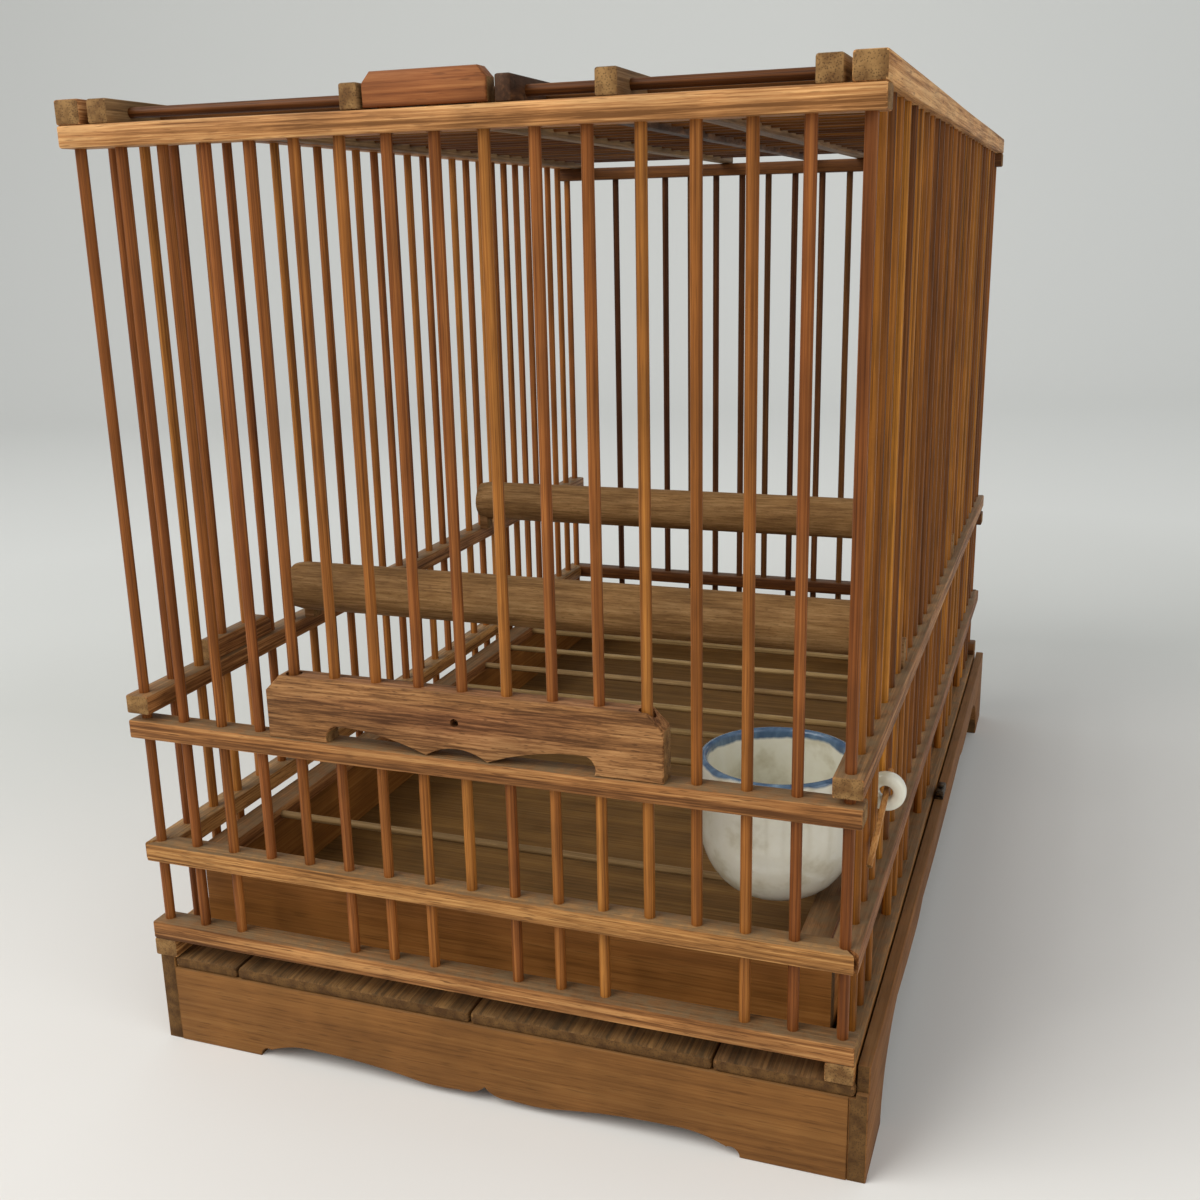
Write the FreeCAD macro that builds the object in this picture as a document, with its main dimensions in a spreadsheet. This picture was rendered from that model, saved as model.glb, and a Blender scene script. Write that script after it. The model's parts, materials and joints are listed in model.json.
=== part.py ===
import FreeCAD, Part
import math
import os
import re
import Sketcher

# Wooden bird cage on a separate base: barred walls, sliding doors, lift-off roof panel, perches and cup.
# X runs to the right, Y to the back, Z up; the floor is Z = 0 and the origin is under the middle.

DRIVING_SIZES = {
    "bar_pitch": 15.0,
    "side_bar_pitch": 15.3,
    "bar_radius": 1.8,
    "bar_fit": 0.05,
    "bar_end_inset": 0.6,
    "rail_width": 9.0,
    "rail_height": 6.6,
    "side_top_height": 7.4,
    "low_rail_level": 69.8,
    "front_mid_level": 115.8,
    "side_mid_level": 124.8,
    "front_top_level": 307.0,
    "front_margin": 4.6,
    "base_left_inset": 1.5,
    "lip_clearance": 0.75,
    "base_height": 28.8,
    "board_thickness": 6.0,
    "end_board_thickness": 8.0,
    "side_board_inset": 0.5,
    "front_arch_height": 6.3,
    "deck_thickness": 4.2,
    "deck_front_inset": 0.6,
    "deck_edge_round": 1.6,
    "plank_gap": 0.3,
    "lip_top": 38.8,
    "lip_thickness": 3.75,
    "lip_setback": 2.5,
    "tray_clearance": 1.5,
    "tray_inset": 14.2,
    "tray_height": 31.0,
    "tray_wall": 6.0,
    "tray_floor_thickness": 3.0,
    "grid_rail_width": 9.8,
    "grid_rail_height": 5.7,
    "grid_rail_inset": 0.8,
    "stick_radius": 1.5,
    "stick_end_inset": 1.0,
    "door_half_width": 67.4,
    "door_shift": 1.4,
    "door_plate_height": 21.4,
    "door_plate_thickness": 8.0,
    "door_knob_hole_radius": 1.4,
    "door_knob_hole_height": 12.0,
    "door_bar_foot": 9.0,
    "door_guide_hole_radius": 2.7,
    "running_gap": 0.4,
    "block_left": 20.4,
    "block_width": 38.0,
    "block_height": 9.4,
    "block_thickness": 6.4,
    "block_bar_depth": 6.0,
    "left_door_start": 36.0,
    "left_door_length": 37.5,
    "left_door_height": 7.6,
    "left_door_thickness": 6.0,
    "left_door_bar_foot": 2.0,
    "batten_height": 7.2,
    "roof_rod_radius": 1.7,
    "roof_rod_first": 7.5,
    "roof_end_setback": 0.5,
    "perch_radius": 9.6,
    "perch_end_inset": 3.8,
    "perch_axis_lift": 14.4,
    "perch_tongue_width": 6.0,
    "perch_tongue_height": 10.0,
    "perch_tongue_reach": 5.8,
    "perch_tongue_root": 5.2,
    "front_perch_depth": 93.0,
    "front_tongue_offset": 2.6,
    "back_perch_depth": 270.0,
    "back_tongue_offset": 5.2,
    "cup_x": 89.5,
    "cup_depth": 46.5,
    "cup_floor_level": 69.1,
    "cup_radius": 25.7,
    "cup_height": 46.1,
    "cup_wall": 3.0,
    "cup_foot_radius": 9.0,
    "cup_round": 24.0,
    "ear_x": 123.4,
    "ear_depth": 52.0,
    "ear_level": 104.5,
    "ear_radius": 6.4,
    "ear_hole_radius": 2.5,
    "ear_thickness": 5.0,
    "ear_neck_height": 7.0,
    "peg_radius": 1.1,
    "peg_ahead": 34.6,
    "peg_length": 45.6,
    "peg_drop": 0.2,
    "catch_depth": 206.5,
    "catch_plate_length": 12.0,
    "catch_plate_thickness": 0.8,
    "catch_button_length": 12.0,
    "catch_button_width": 3.6,
    "catch_button_height": 2.4,
    "catch_gap": 0.3,
    "catch_pin_radius": 0.9,
    "catch_pin_gap": 0.05,
    "catch_pin_head": 1.5,
    "catch_pin_head_height": 0.9,
    "overrun": 2.0,
}

# Height of the side boards' arch, as a share of the front board's height.
SIDE_ARCH_SHARE = 0.9375
# Spaces between bars across the front, and along each side.
FRONT_BAYS = 16
SIDE_BAYS = 27

DERIVED_SIZES = {
    "rail_half": "rail_width / 2",
    "wall_half": f"bar_pitch * {FRONT_BAYS} / 2",
    "wall_outer": "wall_half + rail_half",
    "wall_depth": f"side_bar_pitch * {SIDE_BAYS}",
    "cage_x": "-(ear_x + ear_radius - wall_outer) / 2",
    "front_y": "front_margin - (wall_depth + front_margin + rail_half) / 2",
    "back_y": "front_y + wall_depth",
    "rail_front_y": "front_y - rail_half",
    "rail_length": "wall_outer * 2",
    "side_rail_length": "wall_depth + rail_width",
    "side_arch_height": f"base_height * {SIDE_ARCH_SHARE}",
    "deck_top": "base_height + deck_thickness",
    "front_bottom_level": "deck_top + rail_height",
    "side_top_level": "front_top_level + rail_height",
    "roof_level": "front_top_level + rail_height",
    "door_level": "front_mid_level + rail_height",
    "left_door_level": "side_mid_level + rail_height",
    "front_bar_foot": "front_bottom_level + rail_height / 2",
    "side_bar_foot": "deck_top + rail_height / 2",
    "low_bar_foot": "low_rail_level + rail_height / 2",
    "front_bar_top": "roof_level - bar_end_inset",
    "front_short_top": "door_level - bar_end_inset",
    "side_bar_top": "side_top_level + side_top_height - bar_end_inset",
    "side_short_top": "left_door_level - bar_end_inset",
    "base_left": "cage_x - wall_outer + base_left_inset",
    "base_right": "cage_x + wall_outer + lip_clearance + lip_thickness",
    "base_front_y": "front_y - front_margin",
    "base_back_y": "back_y + rail_half",
    "side_board_length": "base_back_y - base_front_y - side_board_inset",
    "end_board_length": "base_right - base_left - board_thickness * 2",
    "deck_left": "base_left + board_thickness",
    "deck_right": "base_right - lip_thickness",
    "deck_front_y": "base_front_y + deck_front_inset",
    "deck_length": "base_back_y - deck_front_y",
    "tray_half_width": "wall_half - rail_half - tray_clearance",
    "tray_front_y": "front_y + tray_inset",
    "tray_length": "wall_depth - tray_inset * 2",
    "tray_wall_height": "tray_height - tray_floor_thickness",
    "grid_level": "deck_top + tray_height",
    "stick_level": "grid_level + grid_rail_height / 2",
    "grid_half": "tray_half_width - grid_rail_inset",
    "stick_length": "(grid_half - stick_end_inset) * 2",
    "rod_level": "roof_level + batten_height / 2",
    "batten_length": "wall_depth + rail_width - roof_end_setback * 2",
    "perch_half_length": "wall_half - perch_end_inset",
    "perch_axis_level": "left_door_level + perch_axis_lift",
    "front_tongue_depth": "front_perch_depth + front_tongue_offset",
    "back_tongue_depth": "back_perch_depth - back_tongue_offset",
    "door_width": "door_half_width * 2",
    "cup_x_place": "cage_x + cup_x",
    "cup_y_place": "front_y + cup_depth",
    "ear_y_place": "front_y + ear_depth",
    "ear_x_place": "cage_x + ear_x",
    "catch_x": "base_right - lip_thickness / 2",
    "catch_y": "front_y + catch_depth",
    "catch_button_level": "lip_top + catch_plate_thickness + catch_gap",
}

# Bars that reach the bottom rail; the others end in the lower rail.
FRONT_LONG_BAR_NUMBERS = (2, 3, 6, 7, 8, 10, 11, 12, 15, 16)
SIDE_LONG_BAR_NUMBERS = (1, 2, 3, 6, 7, 8, 9, 12, 13, 14, 17, 18, 19, 20, 23, 24, 25, 26)
DOOR_BAR_NUMBERS = (6, 7, 8, 9, 10, 11, 12)
LIFTED_BAR_NUMBERS = (8, 9, 10)
GUIDE_BAR_NUMBERS = (5, 13)
MIDDLE_BAR_NUMBER = 9
LEFT_DOOR_BAR_NUMBERS = (3, 4)
LAST_FRONT_BAR = 16
LAST_SIDE_BAR = 26
ROOF_ROD_COUNT = 26
PEG_SLOPE_DEGREES = 18
QUARTER_TURN_DEGREES = 90

# Shares of the deck's width at which its planks meet.
PLANK_EDGE_SHARES = (0.0, 0.107, 0.477, 0.817, 1.0)
# Batten left edge and width, as shares of the wall's half width.
BATTEN_SHARES = {
    "roof_batten_left": (-0.942, 0.060),
    "roof_batten_mid_left": (-0.226, 0.049),
    "roof_batten_centre": (0.169, 0.040),
    "roof_batten_mid_right": (0.405, 0.054),
    "roof_batten_right": (0.886, 0.060),
}
# Stick positions along the grid, as shares of the tray's length.
STICK_SHARES = (0.092, 0.338, 0.420, 0.495, 0.581, 0.662, 0.744, 0.827, 0.909)

document = FreeCAD.newDocument("bird_cage")
sheet = document.addObject("Spreadsheet::Sheet", "sizes")
for row, (alias, value) in enumerate(DRIVING_SIZES.items(), start=1):
    sheet.set(f"A{row}", alias)
    sheet.set(f"B{row}", str(value))
    sheet.setAlias(f"B{row}", alias)
for row, (alias, formula) in enumerate(DERIVED_SIZES.items(), start=1):
    sheet.set(f"C{row}", alias)
    sheet.set(f"D{row}", f"={formula}")
    sheet.setAlias(f"D{row}", alias)
document.recompute()

nodes = []


def linked(formula):
    """Turn a formula of size names into one that reads the sheet."""
    return re.sub(r"[a-z][a-z_]*[a-z]", r"sizes.\g<0>", formula)


def bind(item, **formulas):
    """Bind properties of an object to formulas; two underscores stand for a dot."""
    for name, formula in formulas.items():
        item.setExpression(name.replace("__", "."), linked(formula))


def place(item, x, y, z):
    bind(item, Placement__Base__x=x, Placement__Base__y=y, Placement__Base__z=z)
    return item


def node(item, name):
    """Mark an object as a separate piece of the cage."""
    item.Label = name
    nodes.append(item)
    return item


def box(name, corner, size):
    item = document.addObject("Part::Box", name)
    bind(item, Length=size[0], Width=size[1], Height=size[2])
    return place(item, *corner)


def rod(name, start, radius, length, axis="z"):
    item = document.addObject("Part::Cylinder", name)
    turns = {
        "x": FreeCAD.Rotation(FreeCAD.Vector(0, 1, 0), QUARTER_TURN_DEGREES),
        "y": FreeCAD.Rotation(FreeCAD.Vector(1, 0, 0), -QUARTER_TURN_DEGREES),
        "z": FreeCAD.Rotation(),
    }
    item.Placement = FreeCAD.Placement(FreeCAD.Vector(), turns[axis])
    bind(item, Radius=radius, Height=length)
    return place(item, *start)


def group(name, items):
    item = document.addObject("Part::Compound", name)
    item.Links = items
    return item


def cut(name, base, tool):
    item = document.addObject("Part::Cut", name)
    item.Base = base
    item.Tool = tool
    return item


def fuse(name, items):
    item = document.addObject("Part::MultiFuse", name)
    item.Shapes = items
    return item


def via(u, v):
    """A point that an arc passes through on its way to the next outline point."""
    return ("via", u, v)


def mirrored(half):
    """Complete an outline edge whose last point lies in the middle."""
    other = []
    for point in reversed(half[:-1]):
        if point[0] == "via":
            other.append(("via", 1 - point[1], point[2]))
        else:
            other.append((1 - point[0], point[1]))
    return half + other


def outline(name, path, u_size, v_size):
    """Closed sketch through share points, each bound to its share of the two sizes."""
    sketch = document.addObject("Sketcher::SketchObject", name)
    u_length = sheet.get(u_size)
    v_length = sheet.get(v_size)
    points = [point for point in path if point[0] != "via"]
    middles = {}
    count = 0
    for point in path:
        if point[0] == "via":
            middles[count - 1] = point[1:]
        else:
            count += 1

    def spot(share):
        return FreeCAD.Vector(share[0] * u_length, share[1] * v_length, 0)

    def fix(geometry, position, share):
        for kind, part, size in (("DistanceX", share[0], u_size), ("DistanceY", share[1], v_size)):
            start = part * sheet.get(size)
            index = sketch.addConstraint(Sketcher.Constraint(kind, -1, 1, geometry, position, start))
            sketch.setExpression(f"Constraints[{index}]", linked(f"{size} * {part}"))

    ends = []
    for index, start in enumerate(points):
        finish = points[(index + 1) % len(points)]
        if index in middles:
            arc = Part.Arc(spot(start), spot(middles[index]), spot(finish))
            number = sketch.addGeometry(arc, False)
            circle_start = sketch.getPoint(number, 1)
            reversed_arc = circle_start.distanceToPoint(spot(start)) > 1e-6
            ends.append((number, 2 if reversed_arc else 1, 1 if reversed_arc else 2))
        else:
            number = sketch.addGeometry(Part.LineSegment(spot(start), spot(finish)), False)
            ends.append((number, 1, 2))
    for index, (number, first, last) in enumerate(ends):
        following = ends[(index + 1) % len(ends)]
        sketch.addConstraint(Sketcher.Constraint("Coincident", number, last, following[0], following[1]))
        fix(number, first, points[index])
    for index, share in middles.items():
        mark = sketch.addGeometry(Part.Point(spot(share)), True)
        sketch.addConstraint(Sketcher.Constraint("PointOnObject", mark, 1, ends[index][0]))
        fix(mark, 1, share)
    return sketch


def upright(sketch, corner, facing):
    """Stand a sketch up: facing front puts it in XZ, facing side puts it in YZ."""
    turns = {
        "front": FreeCAD.Rotation(FreeCAD.Vector(1, 0, 0), QUARTER_TURN_DEGREES),
        "side": FreeCAD.Rotation(0.5, 0.5, 0.5, 0.5),
    }
    sketch.Placement = FreeCAD.Placement(FreeCAD.Vector(), turns[facing])
    return place(sketch, *corner)


def board(name, sketch, facing, thickness):
    """A board of even thickness with the sketch as its face."""
    item = document.addObject("Part::Extrusion", name)
    item.Base = sketch
    item.DirMode = "Custom"
    item.Dir = {"front": FreeCAD.Vector(0, 1, 0), "side": FreeCAD.Vector(1, 0, 0)}[facing]
    item.Solid = True
    bind(item, LengthFwd=thickness)
    return item


def bars(name, spots, foot, top, radius):
    """Upright cylinders at the given spots, each with its own foot and top."""
    items = []
    for index, (x, y) in enumerate(spots):
        item = rod(f"{name}_{index}", (x, y, foot[index]), radius, f"{top[index]} - ({foot[index]})")
        items.append(item)
    return items


# Base boards

front_edge_shares = mirrored([
    (0.0, 0.0),
    (0.138, 0.0),
    via(0.141, 0.35),
    (0.156, 0.48),
    via(0.190, 0.90),
    (0.235, 1.0),
    via(0.315, 0.88),
    (0.400, 0.48),
    via(0.430, 0.42),
    (0.460, 0.50),
    via(0.488, 0.62),
    (0.500, 0.95),
])
side_edge_shares = mirrored([
    (0.0, 0.0),
    (0.071, 0.0),
    via(0.080, 0.46),
    (0.105, 0.78),
    via(0.122, 0.90),
    (0.150, 1.0),
    via(0.210, 0.93),
    (0.270, 0.90),
    via(0.300, 0.93),
    (0.320, 1.0),
    via(0.410, 0.955),
    (0.500, 0.95),
])


def arched_board(name, edge, length, arch, corner, facing, height, thickness):
    """A board whose lower edge is cut to the outline; the plain upper part is a box on top of it."""
    feet = edge + [(1.0, 1.0 + 1.0 / 9), (0.0, 1.0 + 1.0 / 9)]
    sketch = upright(outline(f"{name}_outline", feet, length, arch), corner, facing)
    lower = board(f"{name}_lower", sketch, facing, thickness)
    start = f"{arch} * 10 / 9"
    sizes = (length, thickness, f"{height} - {start}")
    if facing == "side":
        sizes = (thickness, length, f"{height} - {start}")
    upper = box(f"{name}_upper", (corner[0], corner[1], start), sizes)
    return fuse(name, [lower, upper])


def end_board(name, y):
    item = arched_board(
        name, front_edge_shares, "end_board_length", "front_arch_height",
        ("base_left + board_thickness", y, "0"), "front", "base_height", "end_board_thickness",
    )
    return node(item, name)


end_board("base_front_board", "base_front_y")
end_board("base_back_board", "base_back_y - end_board_thickness")

side_start = "base_front_y + side_board_inset"
left_board = arched_board(
    "base_left_board", side_edge_shares, "side_board_length", "side_arch_height",
    ("base_left", side_start, "0"), "side", "deck_top", "board_thickness",
)
node(left_board, "base_left_board")
right_lower = arched_board(
    "right_board_body", side_edge_shares, "side_board_length", "side_arch_height",
    ("base_right - board_thickness", side_start, "0"), "side", "side_arch_height * 10 / 9 + plank_gap",
    "board_thickness",
)
right_rebate = box(
    "right_rebate",
    ("base_right - board_thickness - overrun", f"{side_start} - overrun", "base_height"),
    ("board_thickness - lip_thickness + overrun", "side_board_length + overrun * 2", "lip_top"),
)
right_lip = box(
    "right_lip",
    ("deck_right", f"{side_start} + lip_setback", "base_height - deck_thickness / 3"),
    ("lip_thickness", "side_board_length - lip_setback", "lip_top - base_height + deck_thickness / 3"),
)
right_whole = fuse("right_whole", [right_lower, right_lip])
node(cut("base_right_board", right_whole, right_rebate), "base_right_board")

# Deck planks, their front edges rounded

for number in range(4):
    name = f"deck_plank_{number + 1}"
    start_share = PLANK_EDGE_SHARES[number]
    end_share = PLANK_EDGE_SHARES[number + 1]
    plank_left = f"deck_left + (deck_right - deck_left) * {start_share}"
    plank_width = f"(deck_right - deck_left) * {end_share - start_share:.3f} - plank_gap"
    plank = box(
        f"{name}_body",
        (plank_left, "deck_front_y + deck_edge_round", "base_height"),
        (plank_width, "deck_length - deck_edge_round", "deck_thickness"),
    )
    nose = box(
        f"{name}_nose",
        (plank_left, "deck_front_y", "base_height"),
        (plank_width, "deck_edge_round", "deck_thickness - deck_edge_round"),
    )
    edge = rod(
        f"{name}_edge",
        (plank_left, "deck_front_y + deck_edge_round", "deck_top - deck_edge_round"),
        "deck_edge_round", plank_width, "x",
    )
    node(fuse(name, [plank, nose, edge]), name)

# Tray that fills the space inside the lowest bars

tray_left = "cage_x - tray_half_width"
tray_width = "tray_half_width * 2"
tray_wall_level = "deck_top + tray_floor_thickness"
node(box("tray_floor", (tray_left, "tray_front_y", "deck_top"),
         (tray_width, "tray_length", "tray_floor_thickness")), "tray_floor")
node(box("tray_front_wall", (tray_left, "tray_front_y", tray_wall_level),
         (tray_width, "tray_wall", "tray_wall_height")), "tray_front_wall")
node(box("tray_back_wall", (tray_left, "tray_front_y + tray_length - tray_wall", tray_wall_level),
         (tray_width, "tray_wall", "tray_wall_height")), "tray_back_wall")
for side, start in (("left", tray_left), ("right", "cage_x + tray_half_width - tray_wall")):
    name = f"tray_{side}_wall"
    node(box(name, (start, "tray_front_y + tray_wall", tray_wall_level),
             ("tray_wall", "tray_length - tray_wall * 2", "tray_wall_height")), name)

# Floor grid: sticks across two rails on the tray's side walls

stick_spots = [f"tray_front_y + tray_length * {share}" for share in STICK_SHARES]
sticks = []
stick_holes = []
for index, spot_y in enumerate(stick_spots):
    start = ("cage_x - stick_length / 2", spot_y, "stick_level")
    sticks.append(rod(f"stick_{index}", start, "stick_radius", "stick_length", "x"))
    stick_holes.append(rod(f"stick_hole_{index}", start, "stick_radius + bar_fit", "stick_length", "x"))
node(group("grid_sticks", sticks), "grid_sticks")
stick_tool = group("stick_tool", stick_holes)
for side, start in (("left", "cage_x - grid_half"), ("right", "cage_x + grid_half - grid_rail_width")):
    name = f"grid_{side}_rail"
    rail = box(f"{name}_body", (start, "tray_front_y", "grid_level"),
               ("grid_rail_width", "tray_length", "grid_rail_height"))
    node(cut(name, rail, stick_tool), name)

# Upright bars


def front_spot(number, y):
    return (f"cage_x + bar_pitch * {number - MIDDLE_BAR_NUMBER}", y)


def side_spot(number, x):
    return (x, f"front_y + side_bar_pitch * {number}")


left_x = "cage_x - wall_half"
right_x = "cage_x + wall_half"
hole_radius = "bar_radius + bar_fit"
sliding_hole_radius = "bar_radius + running_gap"


def wall_bars(name, spots, feet, tops):
    """A wall's fixed bars and the matching tool that drills its rails."""
    node(group(name, bars(f"{name}_bar", spots, feet, tops, "bar_radius")), name)
    return bars(f"{name}_hole", spots, feet, tops, hole_radius)


corner_spots = [(left_x, "front_y"), (right_x, "front_y"), (left_x, "back_y"), (right_x, "back_y")]
corner_holes = wall_bars("corner_bars", corner_spots, ["side_bar_foot"] * 4, ["side_bar_top"] * 4)

front_numbers = range(2, LAST_FRONT_BAR + 1)
front_feet = ["front_bar_foot" if n in FRONT_LONG_BAR_NUMBERS else "low_bar_foot" for n in front_numbers]
front_tops = ["front_short_top" if n in DOOR_BAR_NUMBERS else "front_bar_top" for n in front_numbers]
front_spots = [front_spot(n, "front_y") for n in front_numbers]
front_holes = wall_bars("front_bars", front_spots, front_feet, front_tops)

back_tops = ["front_bar_top"] * len(front_feet)
back_spots = [front_spot(n, "back_y") for n in front_numbers]
back_holes = wall_bars("back_bars", back_spots, front_feet, back_tops)

side_numbers = range(1, LAST_SIDE_BAR + 1)
side_feet = ["side_bar_foot" if n in SIDE_LONG_BAR_NUMBERS else "low_bar_foot" for n in side_numbers]
left_tops = ["side_short_top" if n in LEFT_DOOR_BAR_NUMBERS else "side_bar_top" for n in side_numbers]
left_holes = wall_bars("left_bars", [side_spot(n, left_x) for n in side_numbers], side_feet, left_tops)
right_tops = ["side_bar_top"] * len(side_feet)
right_holes = wall_bars("right_bars", [side_spot(n, right_x) for n in side_numbers], side_feet, right_tops)

# Rails, each drilled for its wall's bars

wall_tools = {
    "front": group("front_tool", front_holes + corner_holes),
    "back": group("back_tool", back_holes + corner_holes),
    "left": group("left_tool", left_holes + corner_holes),
    "right": group("right_tool", right_holes + corner_holes),
}
across = {"front": "rail_front_y", "back": "back_y - rail_half"}
along = {"left": "cage_x - wall_outer", "right": "cage_x + wall_half - rail_half"}


def straight_rail(side, level_name, level, height, tool=None):
    name = f"{side}_{level_name}_rail"
    if side in across:
        corner = ("cage_x - wall_outer", across[side], level)
        size = ("rail_length", "rail_width", height)
    else:
        corner = (along[side], "rail_front_y", level)
        size = ("rail_width", "side_rail_length", height)
    rail = box(f"{name}_body", corner, size)
    return node(cut(name, rail, tool or wall_tools[side]), name)


def mitred_rail(side):
    """A rail of the low frame: longer outside than inside, so that the four meet at the corners."""
    name = f"{side}_lower_rail"
    length = "rail_length" if side in across else "side_rail_length"
    starts = {
        "front": ("cage_x - wall_outer", "rail_front_y", 0),
        "back": ("cage_x + wall_outer", "back_y + rail_half", 2),
        "left": ("cage_x - wall_outer", "back_y + rail_half", -1),
        "right": ("cage_x + wall_outer", "rail_front_y", 1),
    }
    x, y, quarter_turns = starts[side]
    body = document.addObject("Part::Wedge", f"{name}_body")
    bind(
        body, Xmin="0", Xmax=length, X2min="rail_width", X2max=f"{length} - rail_width",
        Ymin="0", Ymax="rail_width", Zmin="0", Zmax="rail_height", Z2min="0", Z2max="rail_height",
    )
    turn = FreeCAD.Rotation(FreeCAD.Vector(0, 0, 1), QUARTER_TURN_DEGREES * quarter_turns)
    body.Placement = FreeCAD.Placement(FreeCAD.Vector(), turn)
    place(body, x, y, "low_rail_level")
    return node(cut(name, body, wall_tools[side]), name)


door_spots = [front_spot(n, "front_y") for n in DOOR_BAR_NUMBERS]
door_count = len(DOOR_BAR_NUMBERS)
door_hole_tool = group("door_hole_tool", front_holes + corner_holes + bars(
    "door_slide_hole", door_spots, ["front_top_level - overrun"] * door_count,
    ["roof_level + overrun"] * door_count, sliding_hole_radius,
))
left_door_spots = [side_spot(n, left_x) for n in LEFT_DOOR_BAR_NUMBERS]
left_count = len(LEFT_DOOR_BAR_NUMBERS)
left_hole_tool = group("left_hole_tool", left_holes + corner_holes + bars(
    "left_slide_hole", left_door_spots, ["side_top_level - overrun"] * left_count,
    ["side_top_level + side_top_height + overrun"] * left_count, sliding_hole_radius,
))

for wall in ("front", "back"):
    straight_rail(wall, "bottom", "front_bottom_level", "rail_height")
    mitred_rail(wall)
    straight_rail(wall, "middle", "front_mid_level", "rail_height")
    tool = door_hole_tool if wall == "front" else None
    straight_rail(wall, "top", "front_top_level", "rail_height", tool)
for wall in ("left", "right"):
    straight_rail(wall, "bottom", "deck_top", "rail_height")
    mitred_rail(wall)
    straight_rail(wall, "middle", "side_mid_level", "rail_height")
    tool = left_hole_tool if wall == "left" else None
    straight_rail(wall, "top", "side_top_level", "side_top_height", tool)

# Front door: a cut-out plate, its bars and the block that lifts them

door_edge_shares = mirrored([
    (0.0, 0.0),
    (0.162, 0.0),
    via(0.164, 0.19),
    (0.185, 0.28),
    via(0.300, 0.22),
    (0.422, 0.0),
    via(0.460, 0.115),
    (0.500, 0.154),
])
door_shares = door_edge_shares + [(1.0, 0.755), (0.961, 1.0), (0.039, 1.0), (0.0, 0.755)]
door_sheet_left = "cage_x - door_half_width - door_shift"
door_sketch = upright(
    outline("door_outline", door_shares, "door_width", "door_plate_height"),
    (door_sheet_left, "front_y - door_plate_thickness / 2", "door_level"), "front",
)
door_blank = board("door_blank", door_sketch, "front", "door_plate_thickness")
door_tools = bars("door_guide_hole", [front_spot(n, "front_y") for n in GUIDE_BAR_NUMBERS],
                  ["door_level - overrun"] * 2, ["door_level + door_plate_height + overrun"] * 2,
                  "door_guide_hole_radius")
door_tools += bars("door_plate_hole", door_spots, ["door_level + door_bar_foot"] * door_count,
                   ["door_level + door_plate_height + overrun"] * door_count, hole_radius)
door_tools.append(rod(
    "door_knob_hole",
    ("cage_x - door_shift", "front_y - door_plate_thickness", "door_level + door_knob_hole_height"),
    "door_knob_hole_radius", "door_plate_thickness / 2 + door_plate_thickness / 4", "y",
))
node(cut("door_plate", door_blank, group("door_plate_tool", door_tools)), "door_plate")

lifted_top = "roof_level + running_gap + block_bar_depth"
door_tops = [lifted_top if n in LIFTED_BAR_NUMBERS else "front_bar_top" for n in DOOR_BAR_NUMBERS]
node(group("door_bars", bars("door_bar", door_spots, ["door_level + door_bar_foot"] * door_count,
                             door_tops, "bar_radius")), "door_bars")
block_shares = [(0.0, 0.0), (1.0, 0.0), (1.0, 0.68), (0.93, 1.0), (0.07, 1.0), (0.0, 0.68)]
block_sketch = upright(
    outline("block_outline", block_shares, "block_width", "block_height"),
    ("cage_x - block_left", "front_y - block_thickness / 2", "roof_level + running_gap"), "front",
)
block_blank = board("block_blank", block_sketch, "front", "block_thickness")
block_holes = bars("block_hole", [front_spot(n, "front_y") for n in LIFTED_BAR_NUMBERS], ["roof_level"] * 3,
                   [lifted_top] * 3, hole_radius)
node(cut("door_lift_block", block_blank, group("block_tool", block_holes)), "door_lift_block")

# Left side door: a short strip with one bevelled corner, and its two bars

left_door_shares = [(0.0, 0.0), (1.0, 0.0), (1.0, 0.70), (0.93, 1.0), (0.0, 1.0)]
left_sketch = upright(
    outline("left_door_outline", left_door_shares, "left_door_length", "left_door_height"),
    ("cage_x - wall_half - left_door_thickness / 2", "front_y + left_door_start", "left_door_level"), "side",
)
left_blank = board("left_door_blank", left_sketch, "side", "left_door_thickness")
left_tools = bars("left_plate_hole", left_door_spots, ["left_door_level + left_door_bar_foot"] * left_count,
                  ["left_door_level + left_door_height + overrun"] * left_count, hole_radius)
node(cut("left_door_plate", left_blank, group("left_door_tool", left_tools)), "left_door_plate")
node(group("left_door_bars", bars("left_door_bar", left_door_spots,
                                  ["left_door_level + left_door_bar_foot"] * left_count,
                                  ["side_bar_top"] * left_count, "bar_radius")), "left_door_bars")

# Roof panel: battens along the cage, with rods through them from side to side

first_batten = BATTEN_SHARES["roof_batten_left"]
last_batten = BATTEN_SHARES["roof_batten_right"]
rod_start = f"cage_x + wall_half * ({first_batten[0]} + {first_batten[1]} / 2)"
rod_end_share = last_batten[0] + last_batten[1] / 2
rod_length = f"wall_half * {rod_end_share - first_batten[0] - first_batten[1] / 2:.4f}"
roof_rods = []
roof_holes = []
for index in range(ROOF_ROD_COUNT):
    spot_y = f"front_y + roof_rod_first + side_bar_pitch * {index}"
    start = (rod_start, spot_y, "rod_level")
    roof_rods.append(rod(f"roof_rod_{index}", start, "roof_rod_radius", rod_length, "x"))
    roof_holes.append(rod(f"roof_rod_hole_{index}", start, "roof_rod_radius + bar_fit", rod_length, "x"))
node(group("roof_rods", roof_rods), "roof_rods")
roof_tool = group("roof_tool", roof_holes)
for name, (left_share, width_share) in BATTEN_SHARES.items():
    batten = box(f"{name}_body", (f"cage_x + wall_half * {left_share}", "rail_front_y + roof_end_setback",
                                  "roof_level"),
                 (f"wall_half * {width_share}", "batten_length", "batten_height"))
    node(cut(name, batten, roof_tool), name)

# Perches: round bars with a tongue at each end that rests on the side rails


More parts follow.
